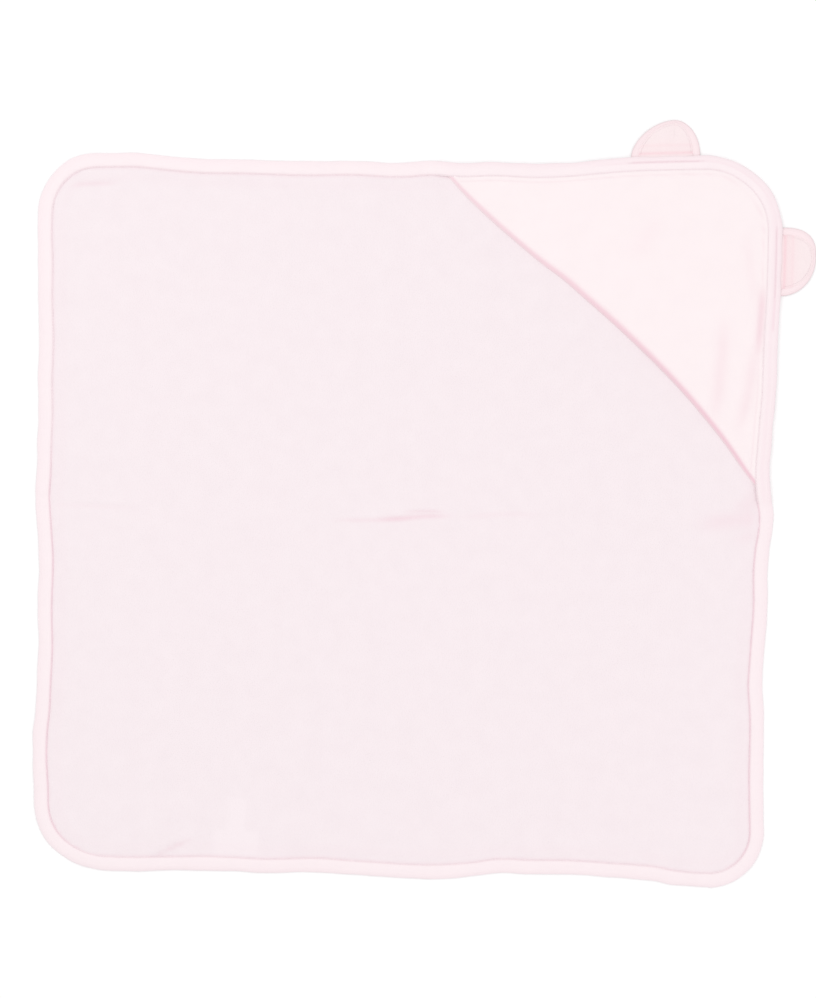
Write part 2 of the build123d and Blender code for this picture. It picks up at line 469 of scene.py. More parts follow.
def sheet_mesh(name: str, face: np.ndarray, back: np.ndarray, uv: np.ndarray) -> bpy.types.Object:
    """Close two matching grids of points into one thin sheet.

    Args:
        name: The piece's name.
        face: Grid of points on the upper side, X along the first axis and Y along the second.
        back: Grid of points on the under side.
        uv: The cut's own coordinates at each grid point.

    Returns:
        The sheet's object.
    """
    rows, columns = face.shape[:2]
    index = np.arange(rows * columns).reshape(rows, columns)
    below = index + rows * columns
    a, b, c, d = index[:-1, :-1], index[1:, :-1], index[1:, 1:], index[:-1, 1:]
    upper = np.stack([a, b, c, d], axis=-1).reshape(-1, 4)
    lower = np.stack([a, d, c, b], axis=-1).reshape(-1, 4) + rows * columns
    border = np.concatenate([index[:-1, 0], index[-1, :-1], index[:0:-1, -1], index[0, :0:-1]])
    under = np.concatenate([below[:-1, 0], below[-1, :-1], below[:0:-1, -1], below[0, :0:-1]])
    wall = np.stack([under, np.roll(under, -1), np.roll(border, -1), border], axis=-1)
    points = np.concatenate([face.reshape(-1, 3), back.reshape(-1, 3)])
    faces = np.concatenate([upper, lower, wall]).tolist()
    flat_uv = uv.reshape(-1, 2)
    return new_object(name, points, faces, np.concatenate([flat_uv, flat_uv]))


# --------------------------------------------------------------------------- finishes


class Weave(Enum):
    """The cloth structures used on the towel."""

    TERRY = "terry_pile"
    JERSEY = "jersey_knit"
    THREAD = "twisted_thread"
    SATIN = "satin_tape"


def group_socket(
    tree: bpy.types.NodeTree, name: str, output: bool, kind: str, default: float | None = None
) -> None:
    """Add a named socket to a node group."""
    direction = "OUTPUT" if output else "INPUT"
    socket = tree.interface.new_socket(name=name, in_out=direction, socket_type=kind)
    if default is not None:
        socket.default_value = default


class NodeTools:
    """Short ways to add and join nodes in one tree."""

    def __init__(self, tree: bpy.types.NodeTree) -> None:
        """Keep the tree."""
        self.tree = tree

    def add(self, kind: str, **values: object) -> bpy.types.Node:
        """Add a node and set its properties."""
        node = self.tree.nodes.new(kind)
        for key, value in values.items():
            setattr(node, key, value)
        return node

    def join(self, source: bpy.types.NodeSocket, target: bpy.types.NodeSocket) -> None:
        """Link two sockets."""
        self.tree.links.new(source, target)

    def feed(self, socket: bpy.types.NodeSocket, value: object) -> None:
        """Link a socket to another one, or set it to a plain value."""
        if isinstance(value, bpy.types.NodeSocket):
            self.join(value, socket)
        else:
            socket.default_value = value

    def math(
        self, operation: str, first: object, second: object = 0.0, clamp: bool = False
    ) -> bpy.types.NodeSocket:
        """Add a Math node and return its result."""
        node = self.add("ShaderNodeMath", operation=operation, use_clamp=clamp)
        self.feed(node.inputs[0], first)
        self.feed(node.inputs[1], second)
        return node.outputs[0]

    def span(
        self, value: object, low: float, high: float, to_low: float, to_high: float
    ) -> bpy.types.NodeSocket:
        """Map a value from one range to another, smoothly and clamped."""
        node = self.add("ShaderNodeMapRange", interpolation_type="SMOOTHSTEP")
        for socket, number in zip(node.inputs[:5], (value, low, high, to_low, to_high)):
            self.feed(socket, number)
        return node.outputs[0]

    def noise(
        self, place: bpy.types.NodeSocket, scale: float, detail: float
    ) -> bpy.types.NodeSocket:
        """Add a flat Noise Texture and return its value."""
        node = self.add("ShaderNodeTexNoise", noise_dimensions="2D")
        node.inputs["Scale"].default_value = scale
        node.inputs["Detail"].default_value = detail
        self.join(place, node.inputs["Vector"])
        return node.outputs["Fac"]


def open_weave_group(
    weave: Weave, sizes: dict[str, float]
) -> tuple[bpy.types.NodeTree, NodeTools, bpy.types.Node, bpy.types.Node]:
    """Start a weave's node group, with its sizes going in and its height and shade coming out.

    Args:
        weave: The cloth structure, whose value names the group.
        sizes: Each size's name and its usual value.

    Returns:
        The tree, its tools, its input node and its output node.
    """
    tree = bpy.data.node_groups.new(weave.value, "ShaderNodeTree")
    group_socket(tree, "Vector", False, "NodeSocketVector")
    for key, value in sizes.items():
        group_socket(tree, key, False, "NodeSocketFloat", value)
    group_socket(tree, "Height", True, "NodeSocketFloat")
    group_socket(tree, "Shade", True, "NodeSocketFloat")
    tools = NodeTools(tree)
    return tree, tools, tools.add("NodeGroupInput"), tools.add("NodeGroupOutput")


def build_terry_group() -> bpy.types.NodeTree:
    """Terry pile: short loops crowded together, a little uneven from place to place."""
    tree, tools, inputs, outputs = open_weave_group(Weave.TERRY, {"Loop Pitch": 0.0016})
    scale = tools.math("DIVIDE", 1.0, inputs.outputs["Loop Pitch"])
    place = tools.add("ShaderNodeVectorMath", operation="SCALE")
    tools.join(inputs.outputs["Vector"], place.inputs[0])
    tools.join(scale, place.inputs["Scale"])
    loops = tools.add("ShaderNodeTexVoronoi", feature="F1", voronoi_dimensions="2D")
    loops.inputs["Scale"].default_value = 1.0
    loops.inputs["Randomness"].default_value = 0.8
    tools.join(place.outputs[0], loops.inputs["Vector"])
    crown = tools.span(loops.outputs["Distance"], 0.0, 0.75, 1.0, 0.0)
    curl = tools.noise(place.outputs[0], scale=1.7, detail=2.0)
    patches = tools.noise(place.outputs[0], scale=0.09, detail=3.0)
    crown_share, curl_share, patch_share, relief_share = 0.75, 0.45, 0.75, 0.30
    rough = tools.math("MULTIPLY", curl, curl_share)
    height = tools.math("ADD", tools.math("MULTIPLY", crown, crown_share), rough)
    drift = tools.math("MULTIPLY", patches, patch_share)
    # the shade is painted shading from the loops' height, darker in the pits between loops, plus random tone
    # patches
    shade = tools.math("ADD", tools.math("MULTIPLY", height, relief_share), drift, clamp=True)
    tools.join(height, outputs.inputs["Height"])
    tools.join(shade, outputs.inputs["Shade"])
    return tree


def build_jersey_group() -> bpy.types.NodeTree:
    """Jersey: upright wales of small V shaped stitches, nearly smooth."""
    sizes = {"Wale Pitch": 0.0009, "Course Pitch": 0.0007}
    tree, tools, inputs, outputs = open_weave_group(Weave.JERSEY, sizes)
    parts = tools.add("ShaderNodeSeparateXYZ")
    tools.join(inputs.outputs["Vector"], parts.inputs[0])
    wale = tools.math("FRACT", tools.math("DIVIDE", parts.outputs["X"], inputs.outputs["Wale Pitch"]))
    off_centre = tools.math("MULTIPLY", tools.math("ABSOLUTE", tools.math("SUBTRACT", wale, 0.5)), 2.0)
    rounded = tools.math("SUBTRACT", 1.0, tools.math("POWER", off_centre, 2.0))
    course = tools.math("DIVIDE", parts.outputs["Y"], inputs.outputs["Course Pitch"])
    slant, wale_share, wave_share, patch_share, relief_share = 0.6, 0.7, 0.18, 0.7, 0.3
    slanted = tools.math("ADD", course, tools.math("MULTIPLY", off_centre, slant))
    wave = tools.math("SINE", tools.math("MULTIPLY", slanted, 2.0 * math.pi))
    ribs = tools.math("MULTIPLY", rounded, wale_share)
    height = tools.math("ADD", ribs, tools.math("MULTIPLY", wave, wave_share))
    patches = tools.noise(inputs.outputs["Vector"], scale=45.0, detail=4.0)
    drift = tools.math("MULTIPLY", patches, patch_share)
    # the shade is painted shading from the wales' relief, lighter on their ridges, plus random tone patches
    shade = tools.math("ADD", tools.math("MULTIPLY", height, relief_share), drift, clamp=True)
    tools.join(height, outputs.inputs["Height"])
    tools.join(shade, outputs.inputs["Shade"])
    return tree


def build_strand_group(weave: Weave, pitch: float) -> bpy.types.NodeTree:
    """Fine slanting strands, as in a twisted thread or a satin tape."""
    tree, tools, inputs, outputs = open_weave_group(weave, {"Strand Pitch": pitch})
    parts = tools.add("ShaderNodeSeparateXYZ")
    tools.join(inputs.outputs["Vector"], parts.inputs[0])
    slant = tools.math("ADD", parts.outputs["X"], parts.outputs["Y"])
    turns = tools.math("DIVIDE", slant, inputs.outputs["Strand Pitch"])
    wave = tools.math("SINE", tools.math("MULTIPLY", turns, 2.0 * math.pi))
    height = tools.math("ADD", tools.math("MULTIPLY", wave, 0.5), 0.5)
    tools.join(height, outputs.inputs["Height"])
    # the shade is painted shading: each strand's crest comes out lighter
    tools.join(height, outputs.inputs["Shade"])
    return tree


GROUP_BUILDERS = {
    Weave.TERRY: build_terry_group,
    Weave.JERSEY: build_jersey_group,
    Weave.THREAD: lambda: build_strand_group(Weave.THREAD, 0.0004),
    Weave.SATIN: lambda: build_strand_group(Weave.SATIN, 0.0003),
}


@dataclass(frozen=True)
class ClothFinish:
    """One cloth: its structure, its two close shades, the colour of its painted shade and how it takes the
    light.
    """

    name: str
    weave: Weave
    light: tuple[float, float, float]
    deep: tuple[float, float, float]
    # the darker colour that the painted shade in seams, creases, grooves and folds mixes towards
    fold: tuple[float, float, float]
    bump_height: float
    roughness: float = 0.9
    sheen: float = 0.25
    sheen_roughness: float = 0.5
    specular: float = 0.2
    settings: dict[str, float] = field(default_factory=dict)
    through: tuple[float, float, float] | None = None

    def material(self) -> bpy.types.Material:
        """Build the material from its weave group.

        Returns:
            The finished material.
        """
        material = bpy.data.materials.new(self.name)
        material.use_nodes = True
        tools = NodeTools(material.node_tree)
        shader = material.node_tree.nodes["Principled BSDF"]
        weave = tools.add("ShaderNodeGroup")
        weave.node_tree = bpy.data.node_groups.get(self.weave.value) or GROUP_BUILDERS[self.weave]()
        for key, value in self.settings.items():
            weave.inputs[key].default_value = value
        if self.weave is Weave.THREAD:
            place = tools.add("ShaderNodeTexCoord").outputs["Object"]
        else:
            place = tools.add("ShaderNodeUVMap", uv_map=CUT_UV).outputs["UV"]
        tools.join(place, weave.inputs["Vector"])
        # the weave's shade, painted relief shading with random tone patches, mixes the two close shades
        colour = self.mixed(tools, weave.outputs["Shade"], (*self.deep, 1.0), (*self.light, 1.0))
        if self.through is not None:
            mask = tools.add("ShaderNodeAttribute", attribute_name=SHOW_THROUGH)
            colour = self.mixed(tools, mask.outputs["Fac"], colour, (*self.through, 1.0))
        # painted shade: the per-vertex share mixes the colour towards the darker painted shade colour
        depth = tools.add("ShaderNodeAttribute", attribute_name=PAINTED_SHADE)
        colour = self.mixed(tools, depth.outputs["Fac"], colour, (*self.fold, 1.0))
        tools.join(colour, shader.inputs["Base Color"])
        relief = tools.add("ShaderNodeBump")
        relief.inputs["Strength"].default_value = 1.0
        relief.inputs["Distance"].default_value = self.bump_height
        tools.join(weave.outputs["Height"], relief.inputs["Height"])
        tools.join(relief.outputs["Normal"], shader.inputs["Normal"])
        shader.inputs["Roughness"].default_value = self.roughness
        shader.inputs["Specular IOR Level"].default_value = self.specular
        shader.inputs["Sheen Weight"].default_value = self.sheen
        shader.inputs["Sheen Roughness"].default_value = self.sheen_roughness
        return material

    @staticmethod
    def mixed(tools: NodeTools, share: object, first: object, second: object) -> bpy.types.NodeSocket:
        """Mix two colours."""
        node = tools.add("ShaderNodeMix", data_type="RGBA")
        tools.feed(node.inputs["Factor"], share)
        tools.feed(node.inputs[6], first)
        tools.feed(node.inputs[7], second)
        return node.outputs[2]


BODY_TERRY = ClothFinish(
    "towel_terry_face",
    Weave.TERRY,
    light=(0.796, 0.722, 0.742),
    deep=(0.762, 0.684, 0.706),
    fold=(0.755, 0.560, 0.615),
    bump_height=0.00009,
    settings={"Loop Pitch": 0.0017},
    through=(0.797, 0.723, 0.743),
)
LINING_TERRY = ClothFinish(
    "hood_lining_terry",
    Weave.TERRY,
    light=(0.800, 0.720, 0.740),
    deep=(0.750, 0.655, 0.680),
    fold=(0.70, 0.55, 0.59),
    bump_height=0.0003,
    settings={"Loop Pitch": 0.0017},
)
EAR_TERRY = ClothFinish(
    "ear_front_terry",
    Weave.TERRY,
    light=(0.822, 0.722, 0.730),
    deep=(0.790, 0.684, 0.692),
    fold=(0.800, 0.600, 0.630),
    bump_height=0.00013,
    settings={"Loop Pitch": 0.0014},
)
HOOD_JERSEY = ClothFinish(
    "hood_face_jersey",
    Weave.JERSEY,
    light=(0.836, 0.760, 0.767),
    deep=(0.812, 0.729, 0.738),
    fold=(0.745, 0.500, 0.565),
    bump_height=0.00006,
    roughness=0.85,
    sheen=0.3,
    settings={"Wale Pitch": 0.0010, "Course Pitch": 0.0008},
)
TAPE_JERSEY = ClothFinish(
    "edge_tape_jersey",
    Weave.JERSEY,
    light=(0.826, 0.742, 0.757),
    deep=(0.806, 0.718, 0.736),
    fold=(0.770, 0.590, 0.640),
    bump_height=0.00005,
    roughness=0.85,
    sheen=0.3,
    settings={"Wale Pitch": 0.0011, "Course Pitch": 0.0009},
)
EAR_JERSEY = ClothFinish(
    "ear_back_jersey",
    Weave.JERSEY,
    light=(0.830, 0.712, 0.730),
    deep=(0.810, 0.690, 0.708),
    fold=(0.700, 0.560, 0.580),
    bump_height=0.00004,
    roughness=0.85,
    sheen=0.3,
    settings={"Wale Pitch": 0.0010, "Course Pitch": 0.0008},
)
SEAM_THREAD = ClothFinish(
    "seam_thread_pink",
    Weave.THREAD,
    light=(0.80, 0.68, 0.71),
    deep=(0.76, 0.63, 0.66),
    fold=(0.70, 0.55, 0.60),
    bump_height=0.00003,
    roughness=0.6,
    sheen=0.1,
)
LABEL_SATIN = ClothFinish(
    "blank_label_satin",
    Weave.SATIN,
    light=(0.86, 0.85, 0.84),
    deep=(0.83, 0.82, 0.81),
    fold=(0.70, 0.66, 0.66),
    bump_height=0.00002,
    roughness=0.45,
    sheen=0.1,
)


def cloth_material(finish: ClothFinish) -> bpy.types.Material:
    """The finish's material, made once and shared."""
    return bpy.data.materials.get(finish.name) or finish.material()


def dress(obj: bpy.types.Object, finish: ClothFinish) -> None:
    """Give a piece its finish."""
    obj.data.materials.clear()
    obj.data.materials.append(cloth_material(finish))


# --------------------------------------------------------------------------- stitches


@dataclass(frozen=True)
class StitchRow:
    """A row of thread stitches that follows a path, made by Geometry Nodes."""

    pitch: float = 0.0030
    length: float = 0.0025
    radius: float = 0.00030
    bead_segments: int = 6
    bead_rings: int = 5
    tree_name: str = "stitch_row"

    def tree(self) -> bpy.types.NodeTree:
        """Build the node tree once: path to points, a stitch on each, made real."""
        known = bpy.data.node_groups.get(self.tree_name)
        if known is not None:
            return known
        tree = bpy.data.node_groups.new(self.tree_name, "GeometryNodeTree")
        group_socket(tree, "Geometry", False, "NodeSocketGeometry")
        group_socket(tree, "Stitch Pitch", False, "NodeSocketFloat", self.pitch)
        group_socket(tree, "Stitch Length", False, "NodeSocketFloat", self.length)
        group_socket(tree, "Thread Radius", False, "NodeSocketFloat", self.radius)
        group_socket(tree, "Material", False, "NodeSocketMaterial")
        group_socket(tree, "Geometry", True, "NodeSocketGeometry")
        tools = NodeTools(tree)
        inputs = tools.add("NodeGroupInput")
        outputs = tools.add("NodeGroupOutput")
        curve = tools.add("GeometryNodeMeshToCurve")
        tools.join(inputs.outputs["Geometry"], curve.inputs["Mesh"])
        points = tools.add("GeometryNodeCurveToPoints", mode="LENGTH")
        tools.join(curve.outputs["Curve"], points.inputs["Curve"])
        tools.join(inputs.outputs["Stitch Pitch"], points.inputs["Length"])
        turn = tools.add("FunctionNodeAlignRotationToVector", axis="X")
        tools.join(points.outputs["Tangent"], turn.inputs["Vector"])
        bead = tools.add("GeometryNodeMeshUVSphere")
        bead.inputs["Segments"].default_value = self.bead_segments
        bead.inputs["Rings"].default_value = self.bead_rings
        bead.inputs["Radius"].default_value = 1.0
        size = tools.add("ShaderNodeCombineXYZ")
        half = tools.add("ShaderNodeMath", operation="MULTIPLY")
        half.inputs[1].default_value = 0.5
        tools.join(inputs.outputs["Stitch Length"], half.inputs[0])
        tools.join(half.outputs[0], size.inputs["X"])
        tools.join(inputs.outputs["Thread Radius"], size.inputs["Y"])
        tools.join(inputs.outputs["Thread Radius"], size.inputs["Z"])
        place = tools.add("GeometryNodeInstanceOnPoints")
        tools.join(points.outputs["Points"], place.inputs["Points"])
        tools.join(bead.outputs["Mesh"], place.inputs["Instance"])
        tools.join(turn.outputs["Rotation"], place.inputs["Rotation"])
        tools.join(size.outputs["Vector"], place.inputs["Scale"])
        real = tools.add("GeometryNodeRealizeInstances")
        tools.join(place.outputs["Instances"], real.inputs["Geometry"])
        coat = tools.add("GeometryNodeSetMaterial")
        tools.join(real.outputs["Geometry"], coat.inputs["Geometry"])
        tools.join(inputs.outputs["Material"], coat.inputs["Material"])
        tools.join(coat.outputs["Geometry"], outputs.inputs["Geometry"])
        return tree

    def sew(
        self, name: str, paths: list[tuple[np.ndarray, bool]], finish: ClothFinish
    ) -> bpy.types.Object:
        """Sew stitches along paths.

        Args:
            name: The piece's name.
            paths: Each path's points, and whether it closes on itself.
            finish: The thread.

        Returns:
            One plain mesh that holds every stitch.
        """
        points: list = []
        edges: list = []
        for path, closed in paths:
            first = len(points)
            points.extend(path.tolist())
            edges.extend((first + k, first + k + 1) for k in range(len(path) - 1))
            if closed:
                edges.append((first + len(path) - 1, first))
        guide_mesh = bpy.data.meshes.new(name + "_guide")
        guide_mesh.from_pydata(points, edges, [])
        guide = bpy.data.objects.new(name + "_guide", guide_mesh)
        bpy.context.scene.collection.objects.link(guide)
        modifier = guide.modifiers.new("stitches", "NODES")
        modifier.node_group = self.tree()
        values = {
            "Stitch Pitch": self.pitch,
            "Stitch Length": self.length,
            "Thread Radius": self.radius,
            "Material": cloth_material(finish),
        }
        for item in modifier.node_group.interface.items_tree:
            if item.item_type == "SOCKET" and item.in_out == "INPUT" and item.name in values:
                modifier[item.identifier] = values[item.name]
        evaluated = guide.evaluated_get(bpy.context.evaluated_depsgraph_get())
        mesh = bpy.data.meshes.new_from_object(evaluated)
        guide.modifiers.clear()
        bpy.data.objects.remove(guide)
        mesh.name = name
        obj = bpy.data.objects.new(name, mesh)
        bpy.context.scene.collection.objects.link(obj)
        obj.data.shade_smooth()
        return obj


# --------------------------------------------------------------------------- the body panel


@dataclass
class BodyPanel:
    """The terry square, with its rim pressed thin inside the tape."""

    cloth: LaidCloth
    thickness: float = 0.0020
    rim_thickness: float = 0.0010
    rim_lift: float = 0.0007
    rim_ramp: Ramp = Ramp(-0.002, 0.005)
    under_ramp: Ramp = Ramp(0.0, 0.004)
    floor_gap: float = 0.00008
    border_inset: float = 0.006
    pitch: float = 0.0042
    crease_pitch: float = 0.0018
    crease_reach: float = 0.016
    pucker_length: float = 0.011
    pucker_height: float = 0.00022
    pucker_band: Band = Band(0.003, 0.008)
    pucker_waver: Undulation = Undulation(0.05, 0.12, 8, 3)
    pucker_waver_turn: float = 3.0
    nap: Undulation = Undulation(0.012, 0.035, 40, 11)
    nap_height: float = 0.00009
    pillow: Band = Band(0.008, 0.005, 0.0003)
    label_nodes: tuple[str, str] = ("care_label", "blank_label")
    label_rise: float = 0.00055
    label_clearance: float = 0.0001
    # how softly a label's edge shows in the face, the under side and the colour
    label_softness: tuple[float, float, float] = (0.004, 0.002, 0.003)
    # painted shade: in the pressed creases, along the tape's seam and beside the pillow
    crease_painted_shade: float = 0.45
    seam_painted_shade: Band = Band(0.0, 0.0012, 0.35)
    pillow_painted_shade: Band = Band(0.010, 0.004, 0.06)

    def grid_lines(self, low: float, high: float, dense_at: float | None = None) -> np.ndarray:
        """Evenly spaced grid lines, closer together round one place."""
        lines = np.linspace(low, high, round((high - low) / self.pitch) + 1)
        if dense_at is None:
            return lines
        lines = lines[np.abs(lines - dense_at) > self.crease_reach]
        count = round(2 * self.crease_reach / self.crease_pitch)
        close = dense_at + np.linspace(-self.crease_reach, self.crease_reach, count + 1)
        return np.sort(np.concatenate([lines, close]))

    def label_mask(self, x: np.ndarray, y: np.ndarray, soft: float) -> np.ndarray:
        """How much of a label lies under each place, from 0 to 1."""
        mask = np.zeros_like(x)
        for node in self.label_nodes:
            low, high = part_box(node)
            inside_x = np.minimum(x - low.x, high.x - x)
            inside_y = np.minimum(y - low.y, high.y - y)
            mask = np.maximum(mask, ease(np.minimum(inside_x, inside_y) / soft + 0.5))
        return mask

    def puckers(self, x: np.ndarray, y: np.ndarray, from_seam: np.ndarray) -> np.ndarray:
        """Height of the ripples that the tape's stitches pull into the panel beside them."""
        plan = self.cloth.plan
        middle_x, middle_y = plan.middle
        past_side = np.abs(x - middle_x) - (plan.right - middle_x)
        past_end = np.abs(y - middle_y) - (plan.head - middle_y)
        run = np.where(past_side > past_end, y, x)
        waver = self.pucker_waver_turn * self.pucker_waver.at(run, run)
        ripple = np.sin(run * 2.0 * math.pi / self.pucker_length + waver)
        return ripple * self.pucker_height * self.pucker_band.over(from_seam)

    def build(self) -> bpy.types.Object:
        """Cut, settle and dress the panel.

        Returns:
            The panel's object.
        """
        plan = self.cloth.plan
        edge = self.border_inset
        lines_x = self.grid_lines(plan.left + edge, plan.right - edge)
        lines_y = self.grid_lines(plan.foot + edge, plan.head - edge, plan.crease)
        x, y = np.meshgrid(lines_x, lines_y, indexing="ij")
        x, y = plan.round_off(x, y, edge)
        from_seam = plan.inset(x, y) - plan.binding_width
        full = self.rim_ramp.up(from_seam)
        pucker = self.puckers(x, y, from_seam)
        nap = self.nap_height * self.nap.at(x, y)
        pressed = self.cloth.pressed(x, y)
        over_soft, under_soft, seen_soft = self.label_softness
        rim_top = self.rim_thickness + self.rim_lift
        top = rim_top + (self.thickness - self.rim_thickness - self.rim_lift) * full
        top = top + self.pillow.over(from_seam) + pucker * full + nap * full
        top = top + self.label_rise * self.label_mask(x, y, over_soft) - pressed
        low = self.rim_lift * (1.0 - self.under_ramp.up(from_seam)) + self.floor_gap
        low = low + (self.label_rise + self.label_clearance) * self.label_mask(x, y, under_soft)
        under = low + 0.5 * np.maximum(pucker * full, 0)
        face = self.cloth.settle(np.stack([x, y, top], axis=-1))
        back = self.cloth.settle(np.stack([x, y, under], axis=-1))
        obj = sheet_mesh("body_cloth", face, back, np.stack([x, y], axis=-1))
        # painted shade along the tape's seam, in the pressed creases and beside the pillow
        depth = np.maximum(self.seam_painted_shade.over(from_seam), self.crease_painted_shade * pressed / MM)
        paint_sheet(obj, PAINTED_SHADE, depth + self.pillow_painted_shade.over(from_seam))
        through = self.label_mask(x, y, seen_soft)
        paint(obj, SHOW_THROUGH, np.concatenate([through.ravel(), np.zeros(through.size)]))
        finish_mesh(obj)
        dress(obj, BODY_TERRY)
        return obj


# --------------------------------------------------------------------------- the tape


@dataclass(frozen=True)
class Pinch:
    """A place where the tape is nipped across and its edge pushed out."""

    at: tuple[float, float]
    width: float
    depth: float
    out: float


@dataclass
class BindingTape:
    """The tape folded round the edge, from its inner edge on the face to the one behind."""

    cloth: LaidCloth
    hood_rise: float
    hood_leg: float
    profile: tuple[tuple[float, float], ...] = (
        (15.00, 1.20),
        (15.08, 1.85),
        (14.98, 2.32),
        (14.60, 2.42),
        (14.15, 2.36),
        (13.75, 2.62),
        (13.20, 3.02),
        (12.30, 3.34),
        (11.00, 3.55),
        (9.60, 3.60),
        (8.20, 3.50),
        (6.90, 3.36),
        (5.60, 3.38),
        (4.20, 3.26),
        (2.80, 2.92),
        (1.50, 2.42),
        (0.60, 1.90),
        (0.10, 1.35),
        (0.10, 0.80),
        (0.60, 0.35),
        (2.00, 0.10),
        (5.00, 0.06),
        (9.00, 0.06),
        (13.00, 0.06),
        (14.60, 0.10),
        (15.00, 0.50),
    )
    upper_points: int = 18
    wall_points: int = 2
    stitch_inset: float = 0.0142
    pinches: tuple[Pinch, ...] = (
        Pinch((0.375, -0.004), 0.0045, 0.0010, -0.0004),
        Pinch((0.375, 0.010), 0.0060, 0.0005, 0.0004),
        Pinch((-0.375, 0.014), 0.0040, 0.0008, -0.0004),
        Pinch((-0.375, 0.001), 0.0070, 0.0004, 0.0004),
        Pinch((0.030, 0.3675), 0.0050, 0.0005, 0.0),
    )
    ear_seams: tuple[tuple[float, float, float, int], ...] = ()
    groove_inset: float = 0.0062
    groove_depth: float = 0.0006
    groove_width: float = 0.00085
    groove_tail: float = 0.065
    groove_run_on: float = 0.036
    # painted shade in the stitched seam, faintest away from the sides
    seam_painted_shade: float = 0.30
    tail_strength: float = 0.45
    groove_fade: float = 0.006
    groove_tail_back: float = 0.12
    seam_band: Band = Band(0.0145, 0.0011)
    seam_side: Ramp = Ramp(-0.1, 0.2)
    seam_side_head: float = 0.09
    seam_side_fade: float = 0.08
    seam_hood_share: float = 0.75
    # painted shade along the tape's outer rim, stronger over the hood
    rim_painted_shade: float = 0.13
    rim_painted_shade_ramp: Ramp = Ramp(0.0088, 0.0080)
    hood_rim_share: float = 0.9
    # painted shade in a band down the side below the hood
    hood_side_painted_shade: float = 0.22
    hood_side_band: Band = Band(0.0078, 0.0030)
    hood_side_reach: float = 0.06
    hood_overrun: float = 0.004
    hood_fade: float = 0.012
    rise_share: float = 0.84
    rise_ramp: Ramp = Ramp(0.0, 0.0022)
    outer_ramp: Ramp = Ramp(0.006, 0.006)
    fine_crest: Undulation = Undulation(0.010, 0.022, 16, 5)
    fine_crest_height: float = 0.00016
    slow_crest: Undulation = Undulation(0.03, 0.09, 10, 6)
    slow_crest_height: float = 0.00012
    edge_waver: Undulation = Undulation(0.025, 0.08, 10, 8)
    edge_waver_out: float = 0.00035
    pinch_spread: float = 1.6

    def over_hood(self, x: np.ndarray, y: np.ndarray) -> np.ndarray:
        """1 where the tape lies on the hood, 0 where it lies on the panel, soft between."""
        plan = self.cloth.plan
        reach = np.maximum(plan.right - x, plan.head - y)
        return Ramp(self.hood_leg + self.hood_overrun, self.hood_fade).down(reach)

    def relief(self, points: np.ndarray, arc: np.ndarray) -> tuple[np.ndarray, np.ndarray]:
        """How the tape's top and outer edge vary along the outline.

        Args:
            points: The outline's points.
            arc: The distance walked to each of them.

        Returns:
            The height added to the crest and the distance that the edge is pushed out.
        """
        middle_x, middle_y = self.cloth.plan.middle
        level = np.zeros_like(arc)
        crest = self.fine_crest_height * self.fine_crest.at(arc, level)
        crest = crest + self.slow_crest_height * self.slow_crest.at(arc, level)
        out = self.edge_waver_out * self.edge_waver.at(arc, level)
        for pinch in self.pinches:
            away_x = points[:, 0] - middle_x - pinch.at[0]
            away_y = points[:, 1] - middle_y - pinch.at[1]
            away = np.hypot(away_x, away_y)
            crest = crest - pinch.depth * bump(away, pinch.width)
            out = out + pinch.out * bump(away, pinch.width * self.pinch_spread)
        return crest, out

    def groove(self, x: np.ndarray, y: np.ndarray, inset: np.ndarray) -> np.ndarray:
        """Share of the groove's full depth at each place.

        The groove is deepest along the bases of the ears and a little way down the side from
        the side ear. It runs on shallow round the corner between them and dies out past each ear.
        """
        plan = self.cloth.plan
        strength = np.zeros_like(x)
        for centre_x, centre_y, half, axis in self.ear_seams:
            run = centre_x - x if axis == 0 else centre_y - y
            beside = np.abs(y - centre_y) if axis == 0 else np.abs(x - centre_x)
            near = beside < plan.head_right_radius
            run_on = self.groove_run_on * axis * (run > 0.0)
            full = ease((half + run_on - np.abs(run)) / self.groove_fade)
            strength = np.maximum(strength, near * full)
            tail = ease((self.groove_tail + half - run) / self.groove_tail)
            tail = tail * (run > -self.groove_tail_back)
            strength = np.maximum(strength, near * self.tail_strength * tail)
        return strength * bump(inset - self.groove_inset, self.groove_width)

    def seam_shade(self, x: np.ndarray, y: np.ndarray) -> np.ndarray:
        """How strong the painted shade in the stitched seam is: deepest down both sides, faint over the
        hood.
        """
        plan = self.cloth.plan
        middle_x, middle_y = plan.middle
        sideways = np.abs(x - middle_x) / (plan.right - middle_x)
        upright = np.abs(y - middle_y) / (plan.head - middle_y)
        low_enough = Ramp(middle_y + self.seam_side_head, self.seam_side_fade).down(y)
        side = self.seam_side.up(sideways - upright) * low_enough
        shade = self.seam_painted_shade + (1.0 - self.seam_painted_shade) * side
        return shade * (1.0 - self.seam_hood_share * self.over_hood(x, y))

    def surface(self, points: np.ndarray, normals: np.ndarray, arc: np.ndarray) -> np.ndarray:
        """The tape's whole surface, one row of profile points for each outline point."""
        inset, height = MM * np.array(self.profile).T
        upper = np.arange(len(inset)) < self.upper_points
        crest, out = self.relief(points, arc)
        hood = self.over_hood(points[:, 0], points[:, 1])
        bulge = np.where(upper, height / height.max(), 0.0)
        raised = np.where(upper, self.rise_ramp.up(height), 0.0)
        z = height[None, :] + (crest[:, None] * bulge[None, :])
        z = z + hood[:, None] * self.hood_rise * self.rise_share * raised[None, :]
        outer = self.outer_ramp.down(inset)
        x, y = self.flat_places(points, normals, inset[None, :] - out[:, None] * outer[None, :])
        groove = self.groove(x, y, np.broadcast_to(inset, x.shape))
        return np.stack([x, y, z - self.groove_depth * groove * upper[None, :]], axis=-1)

